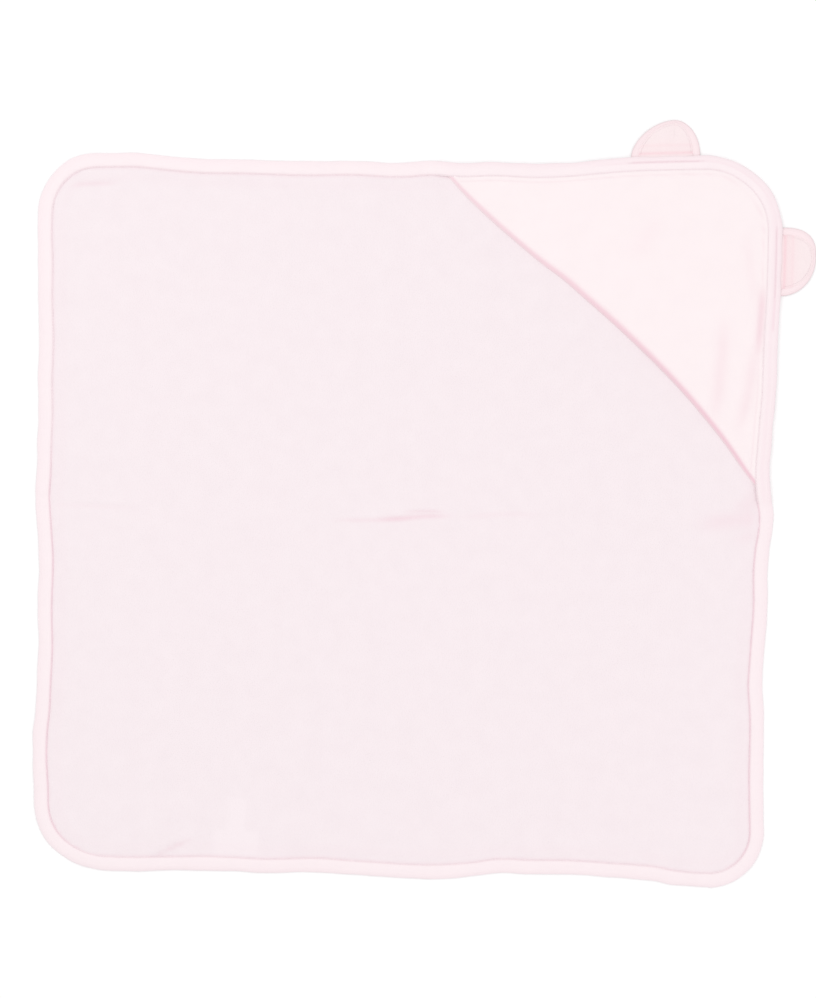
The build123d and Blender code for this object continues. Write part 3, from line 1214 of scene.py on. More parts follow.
    def row(self, inset: float, raise_by: float) -> np.ndarray:
        """A path on the tape's face at one inset, settled."""
        points, normals = self.cloth.plan.outline()
        face = self.surface(points, normals, self.arc(points))[:, : self.upper_points]
        insets = MM * np.array(self.profile)[: self.upper_points, 0]
        order = np.argsort(insets[self.wall_points :]) + self.wall_points
        path = np.empty((len(points), 3))
        for k in range(len(points)):
            for axis in range(3):
                path[k, axis] = np.interp(inset, insets[order], face[k, order, axis])
        path[:, 2] += raise_by
        return self.cloth.settle(path)

    @staticmethod
    def arc(points: np.ndarray) -> np.ndarray:
        """Distance walked along closed points."""
        steps = np.linalg.norm(np.diff(points, axis=0), axis=1)
        return np.concatenate([[0.0], np.cumsum(steps)])

    def build(self) -> bpy.types.Object:
        """Sweep, settle and dress the tape.

        Returns:
            The tape's object.
        """
        points, normals = self.cloth.plan.outline()
        arc = self.arc(points)
        surface = self.cloth.settle(self.surface(points, normals, arc))
        rows, columns = surface.shape[:2]
        index = np.arange(rows * columns).reshape(rows, columns)
        ahead = np.roll(index, -1, axis=0)
        beside = np.roll(index, -1, axis=1)
        corner = np.roll(ahead, -1, axis=1)
        faces = np.stack([index, ahead, corner, beside], axis=-1).reshape(-1, 4)
        obj = new_object("binding_tape", surface.reshape(-1, 3), faces.tolist())
        profile = MM * np.array(self.profile)
        steps = np.linalg.norm(np.diff(np.vstack([profile, profile[:1]]), axis=0), axis=1)
        girth = np.concatenate([[0.0], np.cumsum(steps)])
        total = arc[-1] + float(np.linalg.norm(points[0] - points[-1]))
        along = np.append(arc, total)
        k, m = np.meshgrid(np.arange(rows), np.arange(columns), indexing="ij")
        u = np.stack([along[k], along[k + 1], along[k + 1], along[k]], axis=-1)
        v = np.stack([girth[m], girth[m], girth[m + 1], girth[m + 1]], axis=-1)
        layer = obj.data.uv_layers.new(name=CUT_UV)
        layer.data.foreach_set("uv", np.stack([v, u], axis=-1).astype(np.float32).ravel())
        inset = profile[:, 0][None, :] + np.zeros((rows, 1))
        x, y = self.flat_places(points, normals, inset)
        paint(obj, PAINTED_SHADE, self.shade(x, y, inset))
        finish_mesh(obj)
        dress(obj, TAPE_JERSEY)
        return obj

    def shade(self, x: np.ndarray, y: np.ndarray, inset: np.ndarray) -> np.ndarray:
        """The tape's painted shade: in its seam, at its rim, in a band down the side below the hood and in
        the ears' groove.
        """
        plan = self.cloth.plan
        hood = self.over_hood(x, y)
        depth = self.seam_shade(x, y) * self.seam_band.over(inset)
        rim = self.rim_painted_shade * (1.0 + self.hood_rim_share * hood)
        depth = np.maximum(depth, rim * self.rim_painted_shade_ramp.down(inset))
        below_corner = ease((plan.head - y - (plan.right - x)) / self.hood_side_reach)
        band = hood * below_corner * self.hood_side_band.over(inset)
        depth = np.maximum(depth, self.hood_side_painted_shade * band)
        # painted shade in the ears' groove, as strong as the groove is deep
        return np.maximum(depth, self.groove(x, y, inset))

    @staticmethod
    def flat_places(
        points: np.ndarray, normals: np.ndarray, inset: np.ndarray
    ) -> tuple[np.ndarray, np.ndarray]:
        """X and Y of places at given insets along the outline."""
        x = points[:, 0, None] - normals[:, 0, None] * inset
        y = points[:, 1, None] - normals[:, 1, None] * inset
        return x, y


# --------------------------------------------------------------------------- the hood


@dataclass
class Hood:
    """The lined corner hood: face cloth and lining, turned and seamed along the mouth."""

    cloth: LaidCloth
    base: float
    lining: float
    outer: float
    head_leg: float = 0.3343
    side_leg: float = 0.3279
    head_handle: float = 0.130
    side_handle: float = 0.194
    head_turn: float = math.radians(-50.2)
    side_turn: float = math.radians(-53.2)
    border_inset: float = 0.003
    curve_points: int = 120
    corner_points: int = 40
    mouth_rows: int = 200
    deep_rows: int = 104
    row_growth: float = 1.8
    free_reach: float = 0.020
    edge_sink: float = 0.0002
    crown: float = 0.0016
    crown_reach: float = 0.090
    crown_shares: tuple[float, float] = (0.55, 0.45)
    crown_waver: Undulation = Undulation(0.09, 0.22, 10, 21)
    mouth_lift: float = 0.0006
    mouth_lift_reach: float = 0.016
    mouth_arch_power: float = 0.6
    seam_ridge: Band = Band(0.0042, 0.0011, 0.00032)
    nap: Undulation = Undulation(0.018, 0.05, 30, 23)
    nap_height: float = 0.00010
    roll: float = 0.0052
    roll_bead: Band = Band(0.0062, 0.0014, 0.00015)
    lip_drop: float = 0.0004
    lip_thickness: float = 0.00005
    lip_reach: float = 0.0030
    turned_in: Ramp = Ramp(0.0034, 0.0014)
    turned_rise: float = 0.0001
    layer_gap: float = 0.00002
    # painted shade along the mouth's lip, beside the sewn edge and on the lining by the mouth
    lip_painted_shades: tuple[float, float] = (0.62, 0.90)
    lip_band: tuple[float, float] = (0.0023, 0.0019)
    lip_band_swell: float = 0.0013
    sewn_painted_shade: Band = Band(0.0192, 0.0010, 0.15)
    lining_painted_shade: Band = Band(0.0, 0.002, 0.4)
    # painted shade in the hood's own folds
    fold_painted_shade_share: float = 0.18
    fold_painted_shade_shift: float = 0.003
    sewn_width: float = 0.002
    opening_shares: tuple[float, float] = (0.35, 0.65)
    opening_reach: float = 0.03
    mouth_wander: EdgeWander = EdgeWander((
        (0.0, 2.2), (0.10, 1.9), (0.17, 1.5), (0.25, 0.1), (0.33, -0.7), (0.40, -1.5), (0.47, 0.4),
        (0.55, 1.8), (0.65, 3.1), (0.75, 3.3), (0.85, 2.6), (0.92, 2.1), (1.0, 2.6),
    ))
    lining_start: float = 0.0030
    wrinkles: tuple[Wrinkle, ...] = (
        Wrinkle((0.3535, 0.245), (0.3515, 0.160), 0.0026, 0.0042, 0.0005),
        Wrinkle((0.3500, 0.190), (0.3340, 0.080), 0.0011, 0.0065, 0.002),
        Wrinkle((0.3160, 0.215), (0.3080, 0.085), 0.0011, 0.0070, 0.002),
        Wrinkle((0.3350, 0.300), (0.3520, 0.205), 0.0005, 0.0060, -0.003),
        Wrinkle((0.2500, 0.315), (0.2150, 0.260), 0.0004, 0.0110, 0.004),
    )

    def mouth(self) -> np.ndarray:
        """The mouth's path in the flat cut, from the head edge to the side edge."""
        plan = self.cloth.plan
        width = plan.binding_width
        start = np.array([plan.right - self.head_leg, plan.head - width])
        end = np.array([plan.right - width, plan.head - self.side_leg])
        lead = np.array([math.cos(self.head_turn), math.sin(self.head_turn)])
        tail = np.array([math.cos(self.side_turn), math.sin(self.side_turn)])
        t = np.linspace(0.0, 1.0, self.curve_points)[:, None]
        first, second = start + self.head_handle * lead, end - self.side_handle * tail
        curve = (1 - t) ** 3 * start + 3 * t * (1 - t) ** 2 * first
        curve = curve + 3 * t**2 * (1 - t) * second + t**3 * end
        run = np.gradient(curve, axis=0)
        outwards = np.stack([run[:, 1], -run[:, 0]], axis=-1) / np.linalg.norm(run, axis=1)[:, None]
        curve = curve + outwards * self.mouth_wander.out(t)
        tucked = width - self.border_inset
        before = start - lead * tucked / abs(lead[1])
        after = end + tail * tucked / abs(tail[0])
        return self.spaced(np.vstack([before, curve, after]), self.mouth_rows)

    @staticmethod
    def spaced(path: np.ndarray, count: int) -> np.ndarray:
        """The same path with evenly spaced points."""
        arc = np.concatenate([[0.0], np.cumsum(np.linalg.norm(np.diff(path, axis=0), axis=1))])
        at = np.linspace(0.0, arc[-1], count)
        return np.stack([np.interp(at, arc, path[:, k]) for k in range(2)], axis=-1)

    def sewn_edge(self, start: np.ndarray, end: np.ndarray) -> np.ndarray:
        """The path inside the tape that joins the mouth's two ends round the corner."""
        plan = self.cloth.plan
        radius = plan.head_right_radius
        bend = radius - self.border_inset
        centre = np.array([plan.right - radius, plan.head - radius])
        angles = np.linspace(0.5 * math.pi, 0.0, self.corner_points)[:, None]
        arc = centre + bend * np.hstack([np.cos(angles), np.sin(angles)])
        return self.spaced(np.vstack([start, arc, end]), self.mouth_rows)

    def grid(self, first_depth: float, rows: int) -> tuple[np.ndarray, np.ndarray, np.ndarray]:
        """Flat places across the hood.

        Args:
            first_depth: How far behind the mouth the grid starts.
            rows: Number of rows from the mouth to the sewn edge.

        Returns:
            The places, their distance behind the mouth and the share along the mouth.
        """
        mouth = self.mouth()
        sewn = self.sewn_edge(mouth[0], mouth[-1])
        length = np.linalg.norm(sewn - mouth, axis=1)
        share = np.linspace(0.0, 1.0, rows) ** self.row_growth
        start = np.minimum(first_depth / np.maximum(length, 1e-6), 0.5)
        depth = start[:, None] + (1.0 - start[:, None]) * share[None, :]
        places = mouth[:, None] * (1.0 - depth[..., None]) + sewn[:, None] * depth[..., None]
        along = np.linspace(0.0, 1.0, len(mouth))[:, None] + np.zeros_like(depth)
        return places, depth * length[:, None], along

    def level(self, places: np.ndarray, along: np.ndarray, behind: np.ndarray) -> np.ndarray:
        """Height of the hood's middle layer over the floor at each flat place."""
        plan = self.cloth.plan
        x, y = places[..., 0], places[..., 1]
        inset = plan.inset(x, y)
        from_seam = inset - plan.binding_width
        free = ease(from_seam / self.free_reach)
        wide = ease(from_seam / self.crown_reach)
        middle_x, middle_y = plan.middle
        even, uneven = self.crown_shares
        arch = (4.0 * along * (1.0 - along)) ** self.mouth_arch_power
        height = self.base + self.lining - self.edge_sink * (1.0 - free)
        height = height + self.crown * wide * (even + uneven * self.crown_waver.at(x, y))
        height = height + self.mouth_lift * arch * free * bump(behind, self.mouth_lift_reach)
        for wrinkle in self.wrinkles:
            height = height + free * wrinkle.lift(x - middle_x, y - middle_y)
        return height + self.nap_height * self.nap.at(x, y) * free - self.seam_ridge.over(from_seam)

    def weights(self, places: np.ndarray, along: np.ndarray) -> np.ndarray:
        """How much of the hood's opening each place takes: none where it is sewn down."""
        plan = self.cloth.plan
        inset = plan.inset(places[..., 0], places[..., 1]) - plan.binding_width - self.sewn_width
        at_mouth = np.maximum(inset[:, :1], 1e-4)
        rise = np.clip(inset / at_mouth, 0.0, 1.0)
        arch = 4.0 * along * (1.0 - along)
        near, far = self.opening_shares
        return np.clip(arch * rise * (near + far * ease(inset / self.opening_reach)), 0.0, 1.0)

    def build(self) -> tuple[bpy.types.Object, bpy.types.Object]:
        """Cut, settle and dress the face cloth and the lining.

        Returns:
            The face cloth's object and the lining's object.
        """
        half = (self.lining + self.outer) / 2.0
        places, behind, along = self.grid(0.0, self.deep_rows)
        middle = self.level(places, along, behind)
        from_roll = 1.0 - np.minimum(behind / self.roll, 1.0)
        rounding = np.sqrt(np.clip(1.0 - from_roll**2, 0.0, 1.0))
        lip = self.base - self.lip_drop
        upper = lip + (middle + half - lip) * rounding + self.roll_bead.over(behind)
        lower = lip - self.lip_thickness + (middle - half - lip) * ease(behind / self.lip_reach)
        turned = 1.0 - self.turned_in.up(behind)
        inner = lower * turned + (middle + self.turned_rise) * (1.0 - turned)
        lower = np.minimum(inner, upper - self.layer_gap)
        outer = self.make("hood_face_cloth", places, upper, lower)
        # painted shade: a band along the mouth's lip, a line beside the sewn edge and the hood's folds
        lip_painted_shade = self.lip_painted_shades[0] + (self.lip_painted_shades[1] - self.lip_painted_shades[0]) * ease(along)
        lip_at, lip_width = self.lip_band
        lip_width = lip_width + self.lip_band_swell * np.sin(math.pi * along)
        edge = lip_painted_shade * bump(behind - lip_at, lip_width)
        inset = self.cloth.plan.inset(places[..., 0], places[..., 1])
        edge = np.maximum(edge, self.sewn_painted_shade.over(inset))
        paint_sheet(outer, PAINTED_SHADE, np.maximum(edge, self.fold_painted_shade(places)))
        dress(outer, HOOD_JERSEY)
        self.set_weights(outer, places, along)
        places, behind, along = self.grid(self.lining_start, self.deep_rows // 2)
        middle = self.level(places, along, behind)
        lining = self.make("hood_lining_cloth", places, middle - self.layer_gap, middle - half)
        # painted shade on the lining just behind the mouth
        paint_sheet(lining, PAINTED_SHADE, self.lining_painted_shade.over(behind))
        dress(lining, LINING_TERRY)
        self.set_weights(lining, places, along)
        return outer, lining

    def fold_painted_shade(self, places: np.ndarray) -> np.ndarray:
        """Painted shade in the hood's own folds."""
        middle_x, middle_y = self.cloth.plan.middle
        total = np.zeros(places.shape[:2])
        for wrinkle in self.wrinkles:
            x = places[..., 0] - middle_x - self.fold_painted_shade_shift
            total = total + np.abs(wrinkle.lift(x, places[..., 1] - middle_y))
        return self.fold_painted_shade_share * total / MM

    def make(
        self, name: str, places: np.ndarray, upper: np.ndarray, lower: np.ndarray
    ) -> bpy.types.Object:
        """Settle two surfaces over the same flat places and close them."""
        face = self.cloth.settle(np.concatenate([places, upper[..., None]], axis=-1))
        back = self.cloth.settle(np.concatenate([places, lower[..., None]], axis=-1))
        return sheet_mesh(name, face, back, places)

    def set_weights(self, obj: bpy.types.Object, places: np.ndarray, along: np.ndarray) -> None:
        """Blend the cloth into the hood's joint and weld its two pointed ends."""
        paint_sheet(obj, OPENING, self.weights(places, along))
        finish_mesh(obj, weld=True)
        low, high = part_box("hood_outer")
        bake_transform(obj, "head_half", "hood", start=(high.x, high.y, low.z), end=(low.x, low.y, low.z))
        values = np.zeros(len(obj.data.vertices), np.float32)
        obj.data.attributes[OPENING].data.foreach_get("value", values)
        obj.data.attributes[BLEND_WEIGHT].data.foreach_set("value", values)
        obj.data.attributes.remove(obj.data.attributes[OPENING])


# --------------------------------------------------------------------------- the ears


class EarSide(Enum):
    """The outer edge that an ear is sewn to, which is also its body's name."""

    TOP = "top_ear"
    SIDE = "side_ear"


@dataclass(frozen=True)
class HalfRound:
    """A round outline on a straight base, its top leaning to one side.

    The fullness is the power of the outline's curve on each side of its top: 2 is an ellipse,
    less is flatter and more is squarer.
    """

    half_width: float
    reach: float
    lean: float
    fullness: tuple[float, float] = (1.75, 2.0)

    def power(self, s: np.ndarray) -> np.ndarray:
        """The curve's power on each side of the top."""
        return np.where(s < self.lean, self.fullness[0], self.fullness[1])

    def width(self, s: np.ndarray) -> np.ndarray:
        """Distance from the top's line to the outline's end on each side."""
        return np.where(s < self.lean, self.half_width + self.lean, self.half_width - self.lean)

    def from_rim(self, s: np.ndarray, r: np.ndarray) -> np.ndarray:
        """About how far each place lies inside the outline, and less than 0 outside it."""
        width, power = self.width(s), self.power(s)
        across = np.abs((s - self.lean) / width) ** power
        out = (np.maximum(r, 0.0) / self.reach) ** power
        return (1.0 - (across + out) ** (1.0 / power)) * np.minimum(self.reach, width)

    def line(self, inset: float, count: int) -> tuple[np.ndarray, np.ndarray]:
        """Places along the outline, drawn in by inset."""
        angle = np.linspace(math.pi, 0.0, count)
        side = self.lean + np.cos(angle)
        width, power = self.width(side), self.power(side)
        across = np.sign(np.cos(angle)) * np.abs(np.cos(angle)) ** (2.0 / power)
        top = np.abs(np.sin(angle)) ** (2.0 / power)
        return self.lean + (width - inset) * across, (self.reach - inset) * top


@dataclass
class Ear:
    """A small round ear: terry in front, smooth cloth behind that rolls over its rim."""

    cloth: LaidCloth
    side: EarSide
    centre: tuple[float, float]
    back: HalfRound
    front: HalfRound
    # painted shade across the front: in its base creases and spread out from its base
    base_shade: float
    base_broad_shade: float
    tuck: float = 0.0060
    overlap: float = 0.0010
    stitch_inset: float = 0.0012
    level: float = 0.0003
    back_thickness: float = 0.0011
    rim_height: float = 0.0011
    front_thickness: float = 0.0008
    front_lift: float = 0.0003
    front_edge_reach: float = 0.0018
    puff: float = 0.0009
    puff_reach: float = 0.010
    layer_gap: float = 0.00005
    rim_tuck: Band = Band(0.0, 0.0009, 0.0009)
    stitch_dip: Band = Band(0.0, 0.0007, 0.0002)
    base_creases: tuple[Band, Band] = (Band(0.0030, 0.0014), Band(0.0110, 0.0014, 0.35))
    base_crease_depth: float = 0.00045
    nap: Undulation = Undulation(0.010, 0.030, 16, 31)
    nap_height: float = 0.00008
    # painted shade along the front's edge, round the back's rim and over its roll
    front_edge_painted_shade: Band = Band(0.0, 0.0012, 0.10)
    broad_shade_ramp: Ramp = Ramp(0.022, 0.018)
    rim_painted_shade: Band = Band(0.0, 0.0009, 0.9)
    roll_painted_shade: float = 0.30
    roll_painted_shade_reach: float = 0.005
    stitches: StitchRow = StitchRow(pitch=0.0026, length=0.0022, radius=0.00018)
    stitches_from: float = 0.004
    stitches_rise: float = 0.00008
    columns: int = 72
    rows: int = 44
    bend: float = 0.011

    @property
    def outwards(self) -> np.ndarray:
        """Direction out of the towel."""
        return np.array([0.0, 1.0]) if self.side is EarSide.TOP else np.array([1.0, 0.0])

    @property
    def along(self) -> np.ndarray:
        """Direction along the edge, towards the hood's corner."""
        return np.array([1.0, 0.0]) if self.side is EarSide.TOP else np.array([0.0, 1.0])

    def grid(self, shape: HalfRound, inset: float) -> tuple[np.ndarray, np.ndarray]:
        """Places over one layer, from inside the tape out to its rim."""
        across, top = shape.line(inset, self.columns)
        share = np.sin(np.linspace(0.0, 0.5 * math.pi, self.rows))
        s = np.broadcast_to(across[:, None], (self.columns, self.rows)).copy()
        return s, -self.tuck + (top[:, None] + self.tuck) * share[None, :]

    def place(self, s: np.ndarray, r: np.ndarray, z: np.ndarray) -> np.ndarray:
        """Put ear places beside the towel, where its edge has settled."""
        base = np.array(self.centre) + s[..., None] * self.along
        flat = base + r[..., None] * self.outwards
        shift_x, shift_y = self.cloth.shift(base[..., 0], base[..., 1])
        return np.concatenate([flat + np.stack([shift_x, shift_y], axis=-1), z[..., None]], axis=-1)

    def back_surfaces(self, s: np.ndarray, r: np.ndarray) -> tuple[np.ndarray, np.ndarray]:
        """Both sides of the back: flat, with a rolled rim that stands round the front."""
        outside = np.maximum(self.back.from_rim(s, r), 0.0)
        inside = np.maximum(-self.front.from_rim(s, r), 0.0)
        share = outside / np.maximum(outside + inside, 1e-6)
        outer_side = np.sqrt(np.clip(1.0 - (1.0 - 2.0 * share) ** 2, 0.0, 1.0))
        roll = np.where(share < 0.5, outer_side, ease(2.0 - 2.0 * share))
        under = self.level + self.rim_tuck.over(outside)
        upper = self.level + self.back_thickness + self.rim_height * roll
        return under, upper

    def front_surfaces(self, s: np.ndarray, r: np.ndarray) -> tuple[np.ndarray, np.ndarray]:
        """Both sides of the front: a low cushion with a stitched dip inside its edge."""
        inside = self.front.from_rim(s, r)
        under = np.full_like(s, self.level + self.back_thickness + self.layer_gap)
        from_stitches = inside - self.stitch_inset
        cushion = self.puff * ease(from_stitches / self.puff_reach)
        dip = self.stitch_dip.over(from_stitches) + self.base_crease_depth * self.base_crease(r)
        edge = self.front_thickness * ease((inside + self.overlap) / self.front_edge_reach)
        return under, under + self.front_lift + edge + cushion - dip

    def base_crease(self, r: np.ndarray) -> np.ndarray:
        """The two creases that lie across the front beside its base."""
        beside, beyond = self.base_creases
        return beside.over(r) + beyond.over(r)

    def shades(self, s: np.ndarray, r: np.ndarray, is_front: bool) -> np.ndarray:
        """Painted shade at each place: along the front's edge, in its base creases, spread from its base and
        round the back's rim.
        """
        if is_front:
            edge = self.front_edge_painted_shade.over(self.front.from_rim(s, r))
            broad_shade = self.base_broad_shade * self.broad_shade_ramp.down(r)
            return np.maximum(edge, self.base_shade * self.base_crease(r) + broad_shade)
        outside = self.back.from_rim(s, r)
        roll = self.roll_painted_shade * Ramp(self.roll_painted_shade_reach, self.roll_painted_shade_reach).down(outside)
        return np.maximum(self.rim_painted_shade.over(outside), roll)

    def layer(self, name: str, is_front: bool) -> bpy.types.Object:
        """Build one layer."""
        s, r = self.grid(self.front, -self.overlap) if is_front else self.grid(self.back, 0.0)
        under, upper = self.front_surfaces(s, r) if is_front else self.back_surfaces(s, r)
        upper = upper + self.nap_height * self.nap.at(s + self.centre[0], r)
        face, back = self.place(s, r, upper), self.place(s, r, under)
        obj = sheet_mesh(name, face, back, np.stack([s, r], axis=-1))
        paint_sheet(obj, PAINTED_SHADE, self.shades(s, r, is_front))
        finish_mesh(obj, weld=True)
        dress(obj, EAR_TERRY if is_front else EAR_JERSEY)
        return obj

    def build(self) -> list[bpy.types.Object]:
        """Build both layers and the front's stitches and bend them at the base.

        Returns:
            The back, the front and the stitches.
        """
        stem = self.side.value
        back = self.layer(stem + "_back_cloth", False)
        front = self.layer(stem + "_front_cloth", True)
        across, out = self.front.line(self.stitch_inset, self.columns)
        keep = out > self.stitches_from
        across, out = across[keep], out[keep]
        _, height = self.front_surfaces(across, out)
        path = self.place(across, out, height + self.stitches_rise)
        stitches = self.stitches.sew(stem + "_rim_stitches", [(path, False)], SEAM_THREAD)
        start = np.array(self.centre)
        end = start + self.outwards * self.bend
        for piece in (back, front, stitches):
            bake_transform(piece, "head_half", stem, start=(*start, 0.0), end=(*end, 0.0))
        return [back, front, stitches]


# --------------------------------------------------------------------------- the labels


@dataclass
class Labels:
    """The two blank satin labels under the foot end."""

    cloth: LaidCloth
    thickness: float = 0.00022
    tuck: float = 0.004
    sink: float = 0.00005
    floor_gap: float = 0.00003
    curl: float = 0.00010
    curl_turns: tuple[float, float] = (260.0, 190.0)
    # painted shade along the label's edges
    edge_painted_shade: Band = Band(0.0, 0.0006, 0.3)
    columns: int = 24
    rows: int = 40

    def build(self, name: str, node: str, level: float) -> bpy.types.Object:
        """Build one label.

        Args:
            name: The piece's name.
            node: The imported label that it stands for.
            level: Height of its underside over the floor.

        Returns:
            The label's object.
        """
        low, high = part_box(node)
        columns = np.linspace(low.x, high.x, self.columns)
        rows = np.linspace(low.y - self.tuck, high.y, self.rows)
        x, y = np.meshgrid(columns, rows, indexing="ij")
        turn_x, turn_y = self.curl_turns
        wave = self.curl * (1.0 + np.sin(x * turn_x) * np.sin(y * turn_y))
        z = np.maximum(level - self.sink + wave * 0.5, self.floor_gap)
        upper = self.cloth.settle(np.stack([x, y, z + self.thickness], axis=-1))
        lower = self.cloth.settle(np.stack([x, y, z], axis=-1))
        obj = sheet_mesh(name, upper, lower, np.stack([x, y], axis=-1))
        # painted shade along the label's edges
        edge = np.minimum(np.minimum(x - low.x, high.x - x), high.y - y)
        paint_sheet(obj, PAINTED_SHADE, self.edge_painted_shade.over(edge))
        finish_mesh(obj)
        dress(obj, LABEL_SATIN)
        return obj


# --------------------------------------------------------------------------- the studio


@dataclass(frozen=True)
class Lamp:
    """A large square lamp that faces the towel's middle."""

    name: str
    place: tuple[float, float, float]
    size: float
    power: float
    colour: tuple[float, float, float] = (1.0, 1.0, 1.0)

    def build(self) -> None:
        """Hang the lamp and turn it to the middle."""
        data = bpy.data.lights.new(self.name, "AREA")
        data.shape = "SQUARE"
        data.size = self.size
        data.energy = self.power
        data.color = self.colour
        obj = bpy.data.objects.new(self.name, data)
        obj.location = self.place
        obj.rotation_euler = (-Vector(self.place)).to_track_quat("-Z", "Y").to_euler()
        bpy.context.scene.collection.objects.link(obj)


@dataclass
class Studio:
    """A pale floor, soft light from above and a long lens looking straight down."""

    plan: TowelPlan
    view_height: float = 1.0128
    camera_height: float = 2.6
    sensor: float = 36.0
    view_end: float = 50.0
    aim_x: float = 0.0029
    aim_y: float = 0.0200
    floor_size: float = 9.0
    floor_drop: float = 0.00005
    floor_white: float = 0.71
    floor_glow: float = 0.19
    ambient: float = 0.955
    lamps: tuple[Lamp, Lamp] = (
        Lamp("key", (-1.3, 1.2, 2.2), 1.6, 16.5),
        Lamp("fill", (1.6, -0.9, 2.2), 2.4, 15.1, (1.0, 0.90, 0.94)),
    )

    def floor(self) -> None:
        """The pale floor: it glows a little, which softens every shadow on it."""
        half = self.floor_size / 2.0
        z = -self.floor_drop
        points = np.array([(-half, -half, z), (half, -half, z), (half, half, z), (-half, half, z)])
        obj = new_object("floor", points, [[0, 1, 2, 3]])
        material = bpy.data.materials.new("floor_white")
        material.use_nodes = True
        shader = material.node_tree.nodes["Principled BSDF"]
        shader.inputs["Base Color"].default_value = (*(self.floor_white,) * 3, 1.0)
        shader.inputs["Emission Color"].default_value = WHITE
        shader.inputs["Emission Strength"].default_value = self.floor_glow
        shader.inputs["Roughness"].default_value = 1.0
        shader.inputs["Specular IOR Level"].default_value = 0.0
        obj.data.materials.append(material)

    def build(self) -> None:
        """Set up the floor, the light, the camera and the plain view of colours."""
        scene = bpy.context.scene
        self.floor()
        world = bpy.data.worlds.new("soft_white_room")
        world.use_nodes = True
        background = world.node_tree.nodes["Background"]
        background.inputs["Color"].default_value = WHITE
        background.inputs["Strength"].default_value = self.ambient
        scene.world = world
        for lamp in self.lamps:
            lamp.build()
        data = bpy.data.cameras.new("camera")
        data.sensor_width = self.sensor
        data.lens = self.sensor * self.camera_height / self.view_height
        data.clip_end = self.view_end
        camera = bpy.data.objects.new("camera", data)
        middle_x, middle_y = self.plan.middle
        camera.location = (middle_x + self.aim_x, middle_y + self.aim_y, self.camera_height)
        scene.collection.objects.link(camera)
        scene.camera = camera
        scene.view_settings.view_transform = "Standard"
        scene.view_settings.look = "None"


# --------------------------------------------------------------------------- put together


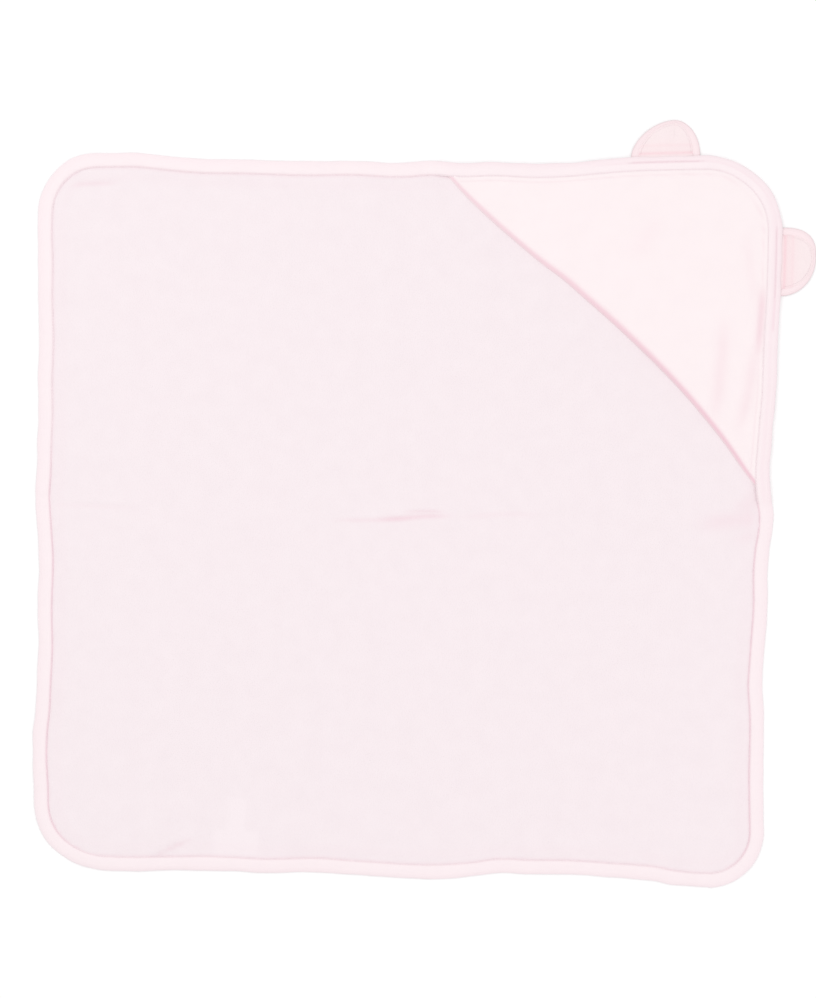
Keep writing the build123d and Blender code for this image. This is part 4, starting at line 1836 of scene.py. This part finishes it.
@dataclass
class HoodedTowel:
    """The whole towel, built piece by piece in sewing order.

    Where a size has two values for the ears, the top ear's comes first.
    """

    plan: TowelPlan
    cloth: LaidCloth
    ear_backs: tuple[HalfRound, HalfRound] = (
        HalfRound(0.0348, 0.0364, 0.0085),
        HalfRound(0.0343, 0.0347, 0.0040, (2.05, 2.7)),
    )
    ear_fronts: tuple[HalfRound, HalfRound] = (
        HalfRound(0.0268, 0.0326, 0.0085),
        HalfRound(0.0264, 0.0314, 0.0040, (2.05, 2.4)),
    )
    # painted shade on each ear's front, in its base creases and spread from its base
    ear_shades: tuple[float, float] = (0.75, 0.80)
    ear_broad_shades: tuple[float, float] = (0.18, 0.36)
    side_ear_offset: float = 0.0022
    ear_seam_margin: float = 0.003
    ear_seam_row: StitchRow = StitchRow(pitch=0.0028, length=0.0024, radius=0.00026)
    ear_seam_rise: float = 0.00010
    tape_row: StitchRow = StitchRow()
    tape_row_rise: float = 0.00005
    hood_area_share: float = 0.45
    bend_reach: float = 0.0095

    def ear_centres(self) -> dict[EarSide, tuple[float, float]]:
        """Middle of each ear's base on the towel's outer edge."""
        top_low, top_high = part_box("ear_top_back")
        side_low, side_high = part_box("ear_side_back")
        return {
            EarSide.TOP: ((top_low.x + top_high.x) / 2.0, self.plan.head),
            EarSide.SIDE: (self.plan.right, (side_low.y + side_high.y) / 2.0 + self.side_ear_offset),
        }

    def across_crease(self, piece: bpy.types.Object) -> None:
        """Let a piece bend at the centre crease."""
        x = self.plan.middle[0]
        start = (x, self.plan.crease + self.bend_reach, 0.0)
        end = (x, self.plan.crease - self.bend_reach, 0.0)
        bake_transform(piece, "head_half", "foot_half", start=start, end=end)

    def body(self) -> bpy.types.Object:
        """The terry panel."""
        panel = BodyPanel(self.cloth).build()
        self.across_crease(panel)
        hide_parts("body_panel_head", "body_panel_foot")
        LOG.info("body panel: %d faces", len(panel.data.polygons))
        return panel

    def tape(self) -> tuple[bpy.types.Object, bpy.types.Object]:
        """The tape and its row of stitches, with the short rows that hold the ears."""
        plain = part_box("binding_foot")[1].z
        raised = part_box("binding_head")[1].z
        hood_low, hood_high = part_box("hood_outer")
        centres = self.ear_centres()
        halves = [shape.half_width + self.ear_seam_margin for shape in self.ear_backs]
        sides = zip(EarSide, halves)
        seams = tuple((*centres[side], half, axis) for axis, (side, half) in enumerate(sides))
        tape = BindingTape(self.cloth, raised - plain, hood_high.x - hood_low.x, ear_seams=seams)
        binding = tape.build()
        self.across_crease(binding)
        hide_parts("binding_head", "binding_foot")
        LOG.info("binding tape: %d faces", len(binding.data.polygons))
        row = tape.row(tape.stitch_inset, self.tape_row_rise)
        stitches = self.tape_row.sew("binding_stitches", [(row, True)], SEAM_THREAD)
        self.across_crease(stitches)
        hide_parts("binding_stitching_head", "binding_stitching_foot")
        LOG.info("binding stitches: %d faces", len(stitches.data.polygons))
        seam = tape.row(tape.groove_inset, self.ear_seam_rise)
        flat, _ = self.plan.outline()
        paths = []
        for x, y, half, axis in seams:
            run = np.abs(flat[:, axis] - (x, y)[axis])
            away = np.hypot(flat[:, 0] - x, flat[:, 1] - y)
            paths.append((seam[(run < half) & (away < 2.0 * half)], False))
        ear_rows = self.ear_seam_row.sew("ear_seam_stitches", paths, SEAM_THREAD)
        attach(ear_rows, "head_half")
        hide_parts("ear_seam_stitching")
        LOG.info("ear seam stitches: %d faces", len(ear_rows.data.polygons))
        return binding, stitches

    def hood(self) -> tuple[bpy.types.Object, bpy.types.Object]:
        """The hood's face cloth and lining."""
        lining_low, lining_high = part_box("hood_lining")
        outer_low, outer_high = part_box("hood_outer")
        hood = Hood(self.cloth, lining_low.z, lining_high.z - lining_low.z, outer_high.z - outer_low.z)
        outer, lining = hood.build()
        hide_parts("hood_outer", "hood_mouth_seam")
        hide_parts("hood_lining")
        LOG.info("hood: %d and %d faces", len(outer.data.polygons), len(lining.data.polygons))
        return outer, lining

    def ears(self) -> None:
        """Both ears, each a front, a back and a row of rim stitches."""
        nodes = {EarSide.TOP: "ear_top", EarSide.SIDE: "ear_side"}
        for k, (side, centre) in enumerate(self.ear_centres().items()):
            looks = (self.ear_shades[k], self.ear_broad_shades[k])
            ear = Ear(self.cloth, side, centre, self.ear_backs[k], self.ear_fronts[k], *looks)
            pieces = ear.build()
            parts = (("_back", "jersey"), ("_front", "ear_terry"), ("_stitching", "thread"))
            for piece, (part, slot) in zip(pieces, parts):
                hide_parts(nodes[side] + part)
            counts = [len(piece.data.polygons) for piece in pieces[:2]]
            LOG.info("%s: %d and %d faces", side.value, *counts)

    def labels(self) -> list[bpy.types.Object]:
        """Both labels."""
        labels = Labels(self.cloth)
        made = []
        for name, node in (("care_label_tape", "care_label"), ("blank_label_tape", "blank_label")):
            label = labels.build(name, node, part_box(node)[0].z)
            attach(label, "foot_half")
            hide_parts(node)
            made.append(label)
            LOG.info("%s: %d faces", name, len(label.data.polygons))
        return made

    def build(self) -> None:
        """Build every piece."""
        panel = self.body()
        binding, stitches = self.tape()
        outer, lining = self.hood()
        self.ears()
        labels = self.labels()


def main() -> None:
    """Build the studio and the towel."""
    logging.basicConfig(level=logging.INFO, format="%(name)s: %(message)s")
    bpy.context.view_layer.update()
    plan = TowelPlan.from_frame()
    Studio(plan).build()
    HoodedTowel(plan, LaidCloth(plan)).build()


if __name__ == "__main__":
    main()
